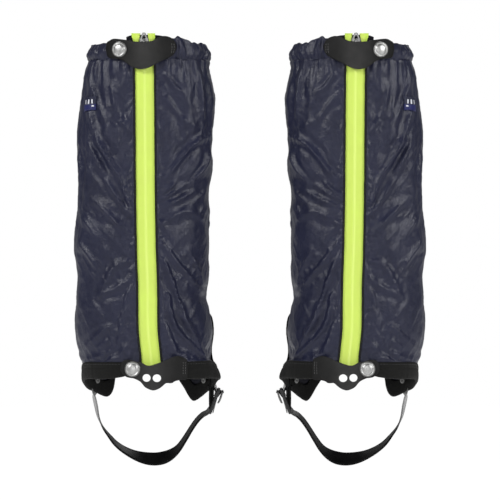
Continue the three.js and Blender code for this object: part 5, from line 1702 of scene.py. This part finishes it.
# ------------------------------------------------------------------ label
n_u, n_v = 22, 20
u, w = np.meshgrid(np.linspace(0, 1, n_u), np.linspace(0, 1, n_v))
s, z = lerp(-80.5, -60, u) + 1.2 * (w - 0.5), lerp(314, 330.5, w) + 1.4 * (u - 0.5)
p, n = shell_at(s, z)
sm = p.copy()
for _ in range(6):
    q = sm.copy()
    q[1:-1, 1:-1] = 0.25 * (sm[2:, 1:-1] + sm[:-2, 1:-1] + sm[1:-1, 2:] + sm[1:-1, :-2])
    sm = q
lift = 1.0 - 0.5 * (np.abs(u - 0.5) * 2) ** 6
outer, inner = sm + n * (lift + 0.55)[..., None], sm + n * (lift - 0.1)[..., None]
rows = np.concatenate([outer, inner[:, ::-1]], 1)
v, f = sweep(rows)
uvl = np.stack([u * 18.5, w], -1)
uv = np.concatenate([uvl, uvl[:, ::-1]], 1).reshape(-1, 2)
pair("side_label", v, f, LABEL, "gaiter", ["label"], uv=uv)
parts = []
for a, b in (((0.03, 0.05), (0.97, 0.05)), ((0.97, 0.95), (0.03, 0.95)), ((0.03, 0.95), (0.03, 0.05)), ((0.97, 0.05), (0.97, 0.95))):
    t = np.linspace(0, 1, 12)
    uu, ww = lerp(a[0], b[0], t), lerp(a[1], b[1], t)
    i = np.clip((ww * (n_v - 1)).round().astype(int), 0, n_v - 1)
    j = np.clip((uu * (n_u - 1)).round().astype(int), 0, n_u - 1)
    parts.append(stitches(outer[i, j] + n[i, j] * 0.1, n[i, j], 1.6, 1.0, 0.4, 0.35))
v, f = join(parts)
pair("side_label_stitches", v, f, THREAD_NAVY, "gaiter")


# ------------------------------------------------------------------ floor and light
def emission_world():
    w = bpy.data.worlds.new("studio")
    SCENE.world = w
    w.use_nodes = True
    t = w.node_tree
    t.nodes.clear()
    out = t.nodes.new("ShaderNodeOutputWorld")
    a, b, mix, lp = t.nodes.new("ShaderNodeBackground"), t.nodes.new("ShaderNodeBackground"), t.nodes.new("ShaderNodeMixShader"), t.nodes.new("ShaderNodeLightPath")
    # the studio is white behind the object and dimmer behind the camera
    geo = t.nodes.new("ShaderNodeTexCoord")
    sep = t.nodes.new("ShaderNodeSeparateXYZ")
    t.links.new(geo.outputs["Generated"], sep.inputs[0])
    rng = t.nodes.new("ShaderNodeMapRange")
    rng.interpolation_type = "SMOOTHSTEP"
    rng.inputs["From Min"].default_value = 0.1
    rng.inputs["From Max"].default_value = 0.95
    rng.inputs["To Min"].default_value = WORLD_LIGHT
    rng.inputs["To Max"].default_value = WORLD_BACK
    t.links.new(sep.outputs[1], rng.inputs["Value"])
    a.inputs[0].default_value = (1, 1, 1, 1)
    t.links.new(rng.outputs[0], a.inputs[1])
    b.inputs[0].default_value = (1, 1, 1, 1)
    b.inputs[1].default_value = 1.0
    t.links.new(lp.outputs["Is Camera Ray"], mix.inputs[0])
    t.links.new(a.outputs[0], mix.inputs[1])
    t.links.new(b.outputs[0], mix.inputs[2])
    t.links.new(mix.outputs[0], out.inputs[0])


def area(name, loc, target, size, power, size_y=None):
    d = bpy.data.lights.new(name, "AREA")
    d.shape = "RECTANGLE"
    d.size, d.size_y = size, size_y or size
    d.energy = power
    o = bpy.data.objects.new(name, d)
    o.location = loc
    o.rotation_euler = (Vector(target) - Vector(loc)).to_track_quat("-Z", "Y").to_euler()
    SCENE.collection.objects.link(o)
    return o


WORLD_LIGHT = 0.16
WORLD_BACK = 0.3
emission_world()
area("key", (-1.25, -1.25, 1.25), (0.12, 0, 0.18), 0.6, 27)
area("fill", (1.6, -1.1, 0.85), (0.12, 0, 0.18), 0.6, 19)
area("front", (0.12, -3.4, 0.6), (0.12, 0, 0.15), 1.0, 16)
area("rim", (0.4, 1.6, 1.2), (0.12, 0, 0.2), 1.2, 4)

floor_mat = Mat("floor_pale", (0.05, 0.05, 0.05), 0.9, spec=0.0)
floor_mat.color(floor_mat.ramp(floor_mat.noise(floor_mat.coord("Object"), 3, 2), [(0.3, (0.04, 0.04, 0.04)), (0.7, (0.06, 0.06, 0.06))]))
floor_mat.b.inputs["Emission Color"].default_value = (1, 1, 1, 1)
floor_mat.b.inputs["Emission Strength"].default_value = 1.0
# the floor is seen only from above, so that it doesn't hide the underside
_t = floor_mat.t
_out = next(n for n in _t.nodes if n.type == "OUTPUT_MATERIAL")
_mix, _clear, _geo = _t.nodes.new("ShaderNodeMixShader"), _t.nodes.new("ShaderNodeBsdfTransparent"), _t.nodes.new("ShaderNodeNewGeometry")
_t.links.new(_geo.outputs["Backfacing"], _mix.inputs[0])
_t.links.new(floor_mat.b.outputs[0], _mix.inputs[1])
_t.links.new(_clear.outputs[0], _mix.inputs[2])
_t.links.new(_mix.outputs[0], _out.inputs[0])
FLOOR_Z = -112.5
floor = make("floor", [(-2400, -1500, FLOOR_Z), (2650, -1500, FLOOR_Z), (2650, 1600, FLOOR_Z), (-2400, 1600, FLOOR_Z)], [(0, 1, 2, 3)], floor_mat.m, smooth_faces=False)
SCENE.view_settings.view_transform = "Standard"
